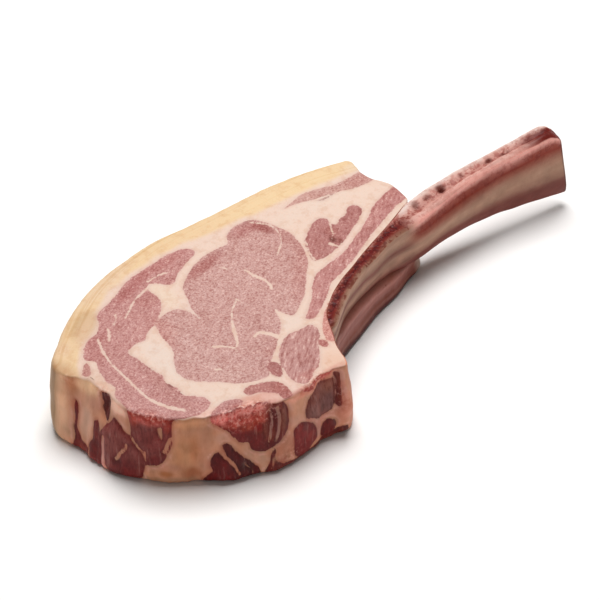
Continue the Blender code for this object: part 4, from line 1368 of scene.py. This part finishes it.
TIP_PAINTED_SHADE = 0.6  # the colours of the sawn tip's closing rings are multiplied by this as painted shade on its rounded edge, and they even out towards its middle
rib_colour, bloody = with_ends(rib_colour), with_ends(bloody)
tip_tone = rib_colour[-1].mean(0)
evened = np.linspace(0.2, 1, len(tip_rings))[:, None, None]
at_tip = rib_colour[-len(tip_rings):]
rib_colour[-len(tip_rings):] = (at_tip * (1 - evened) + tip_tone * evened) * TIP_PAINTED_SHADE
pole_colours = [rib_colour[0].mean(0), rib_colour[-1].mean(0)]
rib_colour = np.concatenate([rib_colour.reshape(-1, 3), pole_colours])
bloody = np.concatenate([bloody.ravel(), [bloody[0].mean(), bloody[-1].mean()]])

rib_piece = new_mesh(
    "rib", rib_points, rib_faces,
    numbers=[("bloody", bloody)], colours=[("rib_colour", rib_colour)],
)
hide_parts("rib_bone")
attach(rib_piece, "root")
print("rib:", len(rib_piece.data.polygons), "faces")

# %% [markdown]
# ## The rib's finish
#
# The bands come from the mesh as a colour attribute. The material only adds what is finer than the mesh:
# dark spots and pale specks where the bone is bloody, a faint grain along it, and small bumps.

# %% The rib's material
def damp_rib():
    """The banded colour with spots, specks and a grain laid over it."""
    material, shader, place = new_material("damp_rib", 0.45, 0.03, 0.03, 0.0015)
    tone = place.node("Attribute", {"attribute_name": "rib_colour"})
    blood = place.node("Attribute", {"attribute_name": "bloody"}, out=2)
    spots = place.noise(3.4, 3.0, roughness=0.65).step(0.47, 0.57)
    specks = place.noise(2.0, 3.0, roughness=0.6).step(0.56, 0.66)
    coloured = (spots * blood).mix(tone, tone.times(rgb(186, 96, 84)))
    coloured = (specks * blood * 0.35).mix(coloured, coloured.mixed(rgb(240, 168, 154), 0.4))
    grain = place.noise(5.0, 4.0, (0.25, 1.0, 1.0), 0.6).step(0.35, 0.65)
    coloured = (grain * 0.25).mix(coloured, coloured.times(rgb(216, 198, 188)))
    wire(shader, "Base Color", coloured)
    wire(shader, "Roughness", 0.55 - blood * 0.05 + (place.noise(2.5, 2.0) - 0.5) * 0.15)
    bumps = place.noise(1.4, 3.0) * 0.4 + place.noise(3.5, 3.0, (0.3, 1.0, 1.0)) * 0.6 - spots * blood * 0.4
    wire(shader, "Normal", place.node("Bump", None, {"Strength": 0.4, "Distance": 0.0007, "Height": bumps}))
    return material


rib_piece.data.materials.append(damp_rib())
rib_material = rib_piece.data.materials[0]
print("material:", rib_material.name, len(rib_material.node_tree.nodes), "nodes")

# %% [markdown]
# ## Floor and light
#
# A white floor lies under the steak. One big soft lamp hangs high above it and a little behind, so the
# upper face is bright, the end wall is in shade and a soft shadow falls towards the camera. A weak warm
# sky keeps the shade from turning black.

# %% Floor, lamp and sky
floor_mesh = bpy.data.meshes.new("floor")
FLOOR = 4.0  # metres from its middle to each side
corners = [(-FLOOR, -FLOOR, 0), (FLOOR, -FLOOR, 0), (FLOOR, FLOOR, 0), (-FLOOR, FLOOR, 0)]
floor_mesh.from_pydata(corners, [], [(0, 1, 2, 3)])
floor = bpy.data.objects.new("floor", floor_mesh)
floor.location.z = -0.0002
bpy.context.scene.collection.objects.link(floor)
floor_material = bpy.data.materials.new("white_floor")
floor_material.use_nodes = True
floor_shader = floor_material.node_tree.nodes["Principled BSDF"]
floor_shader.inputs["Base Color"].default_value = (0.82, 0.81, 0.80, 1)
floor_shader.inputs["Roughness"].default_value = 0.9
floor_mesh.materials.append(floor_material)


def area_lamp(name, place_at, aim_at, size, watts):
    """A square soft lamp that faces a point."""
    light = bpy.data.lights.new(name, "AREA")
    light.shape, light.size, light.energy = "SQUARE", size, watts
    lamp = bpy.data.objects.new(name, light)
    lamp.location = place_at
    lamp.rotation_euler = (Vector(place_at) - Vector(aim_at)).to_track_quat("Z", "Y").to_euler()
    bpy.context.scene.collection.objects.link(lamp)
    return lamp


area_lamp("soft_lamp", (0.17, 0.25, 1.5), (0, 0, 0), 0.8, 31.0)
world = bpy.data.worlds.new("studio")
bpy.context.scene.world = world
world.use_nodes = True
world.node_tree.nodes["Background"].inputs["Color"].default_value = (1.0, 0.93, 0.88, 1)
world.node_tree.nodes["Background"].inputs["Strength"].default_value = 0.2
bpy.context.scene.view_settings.view_transform = "Standard"
print("light: one soft lamp and a weak sky")
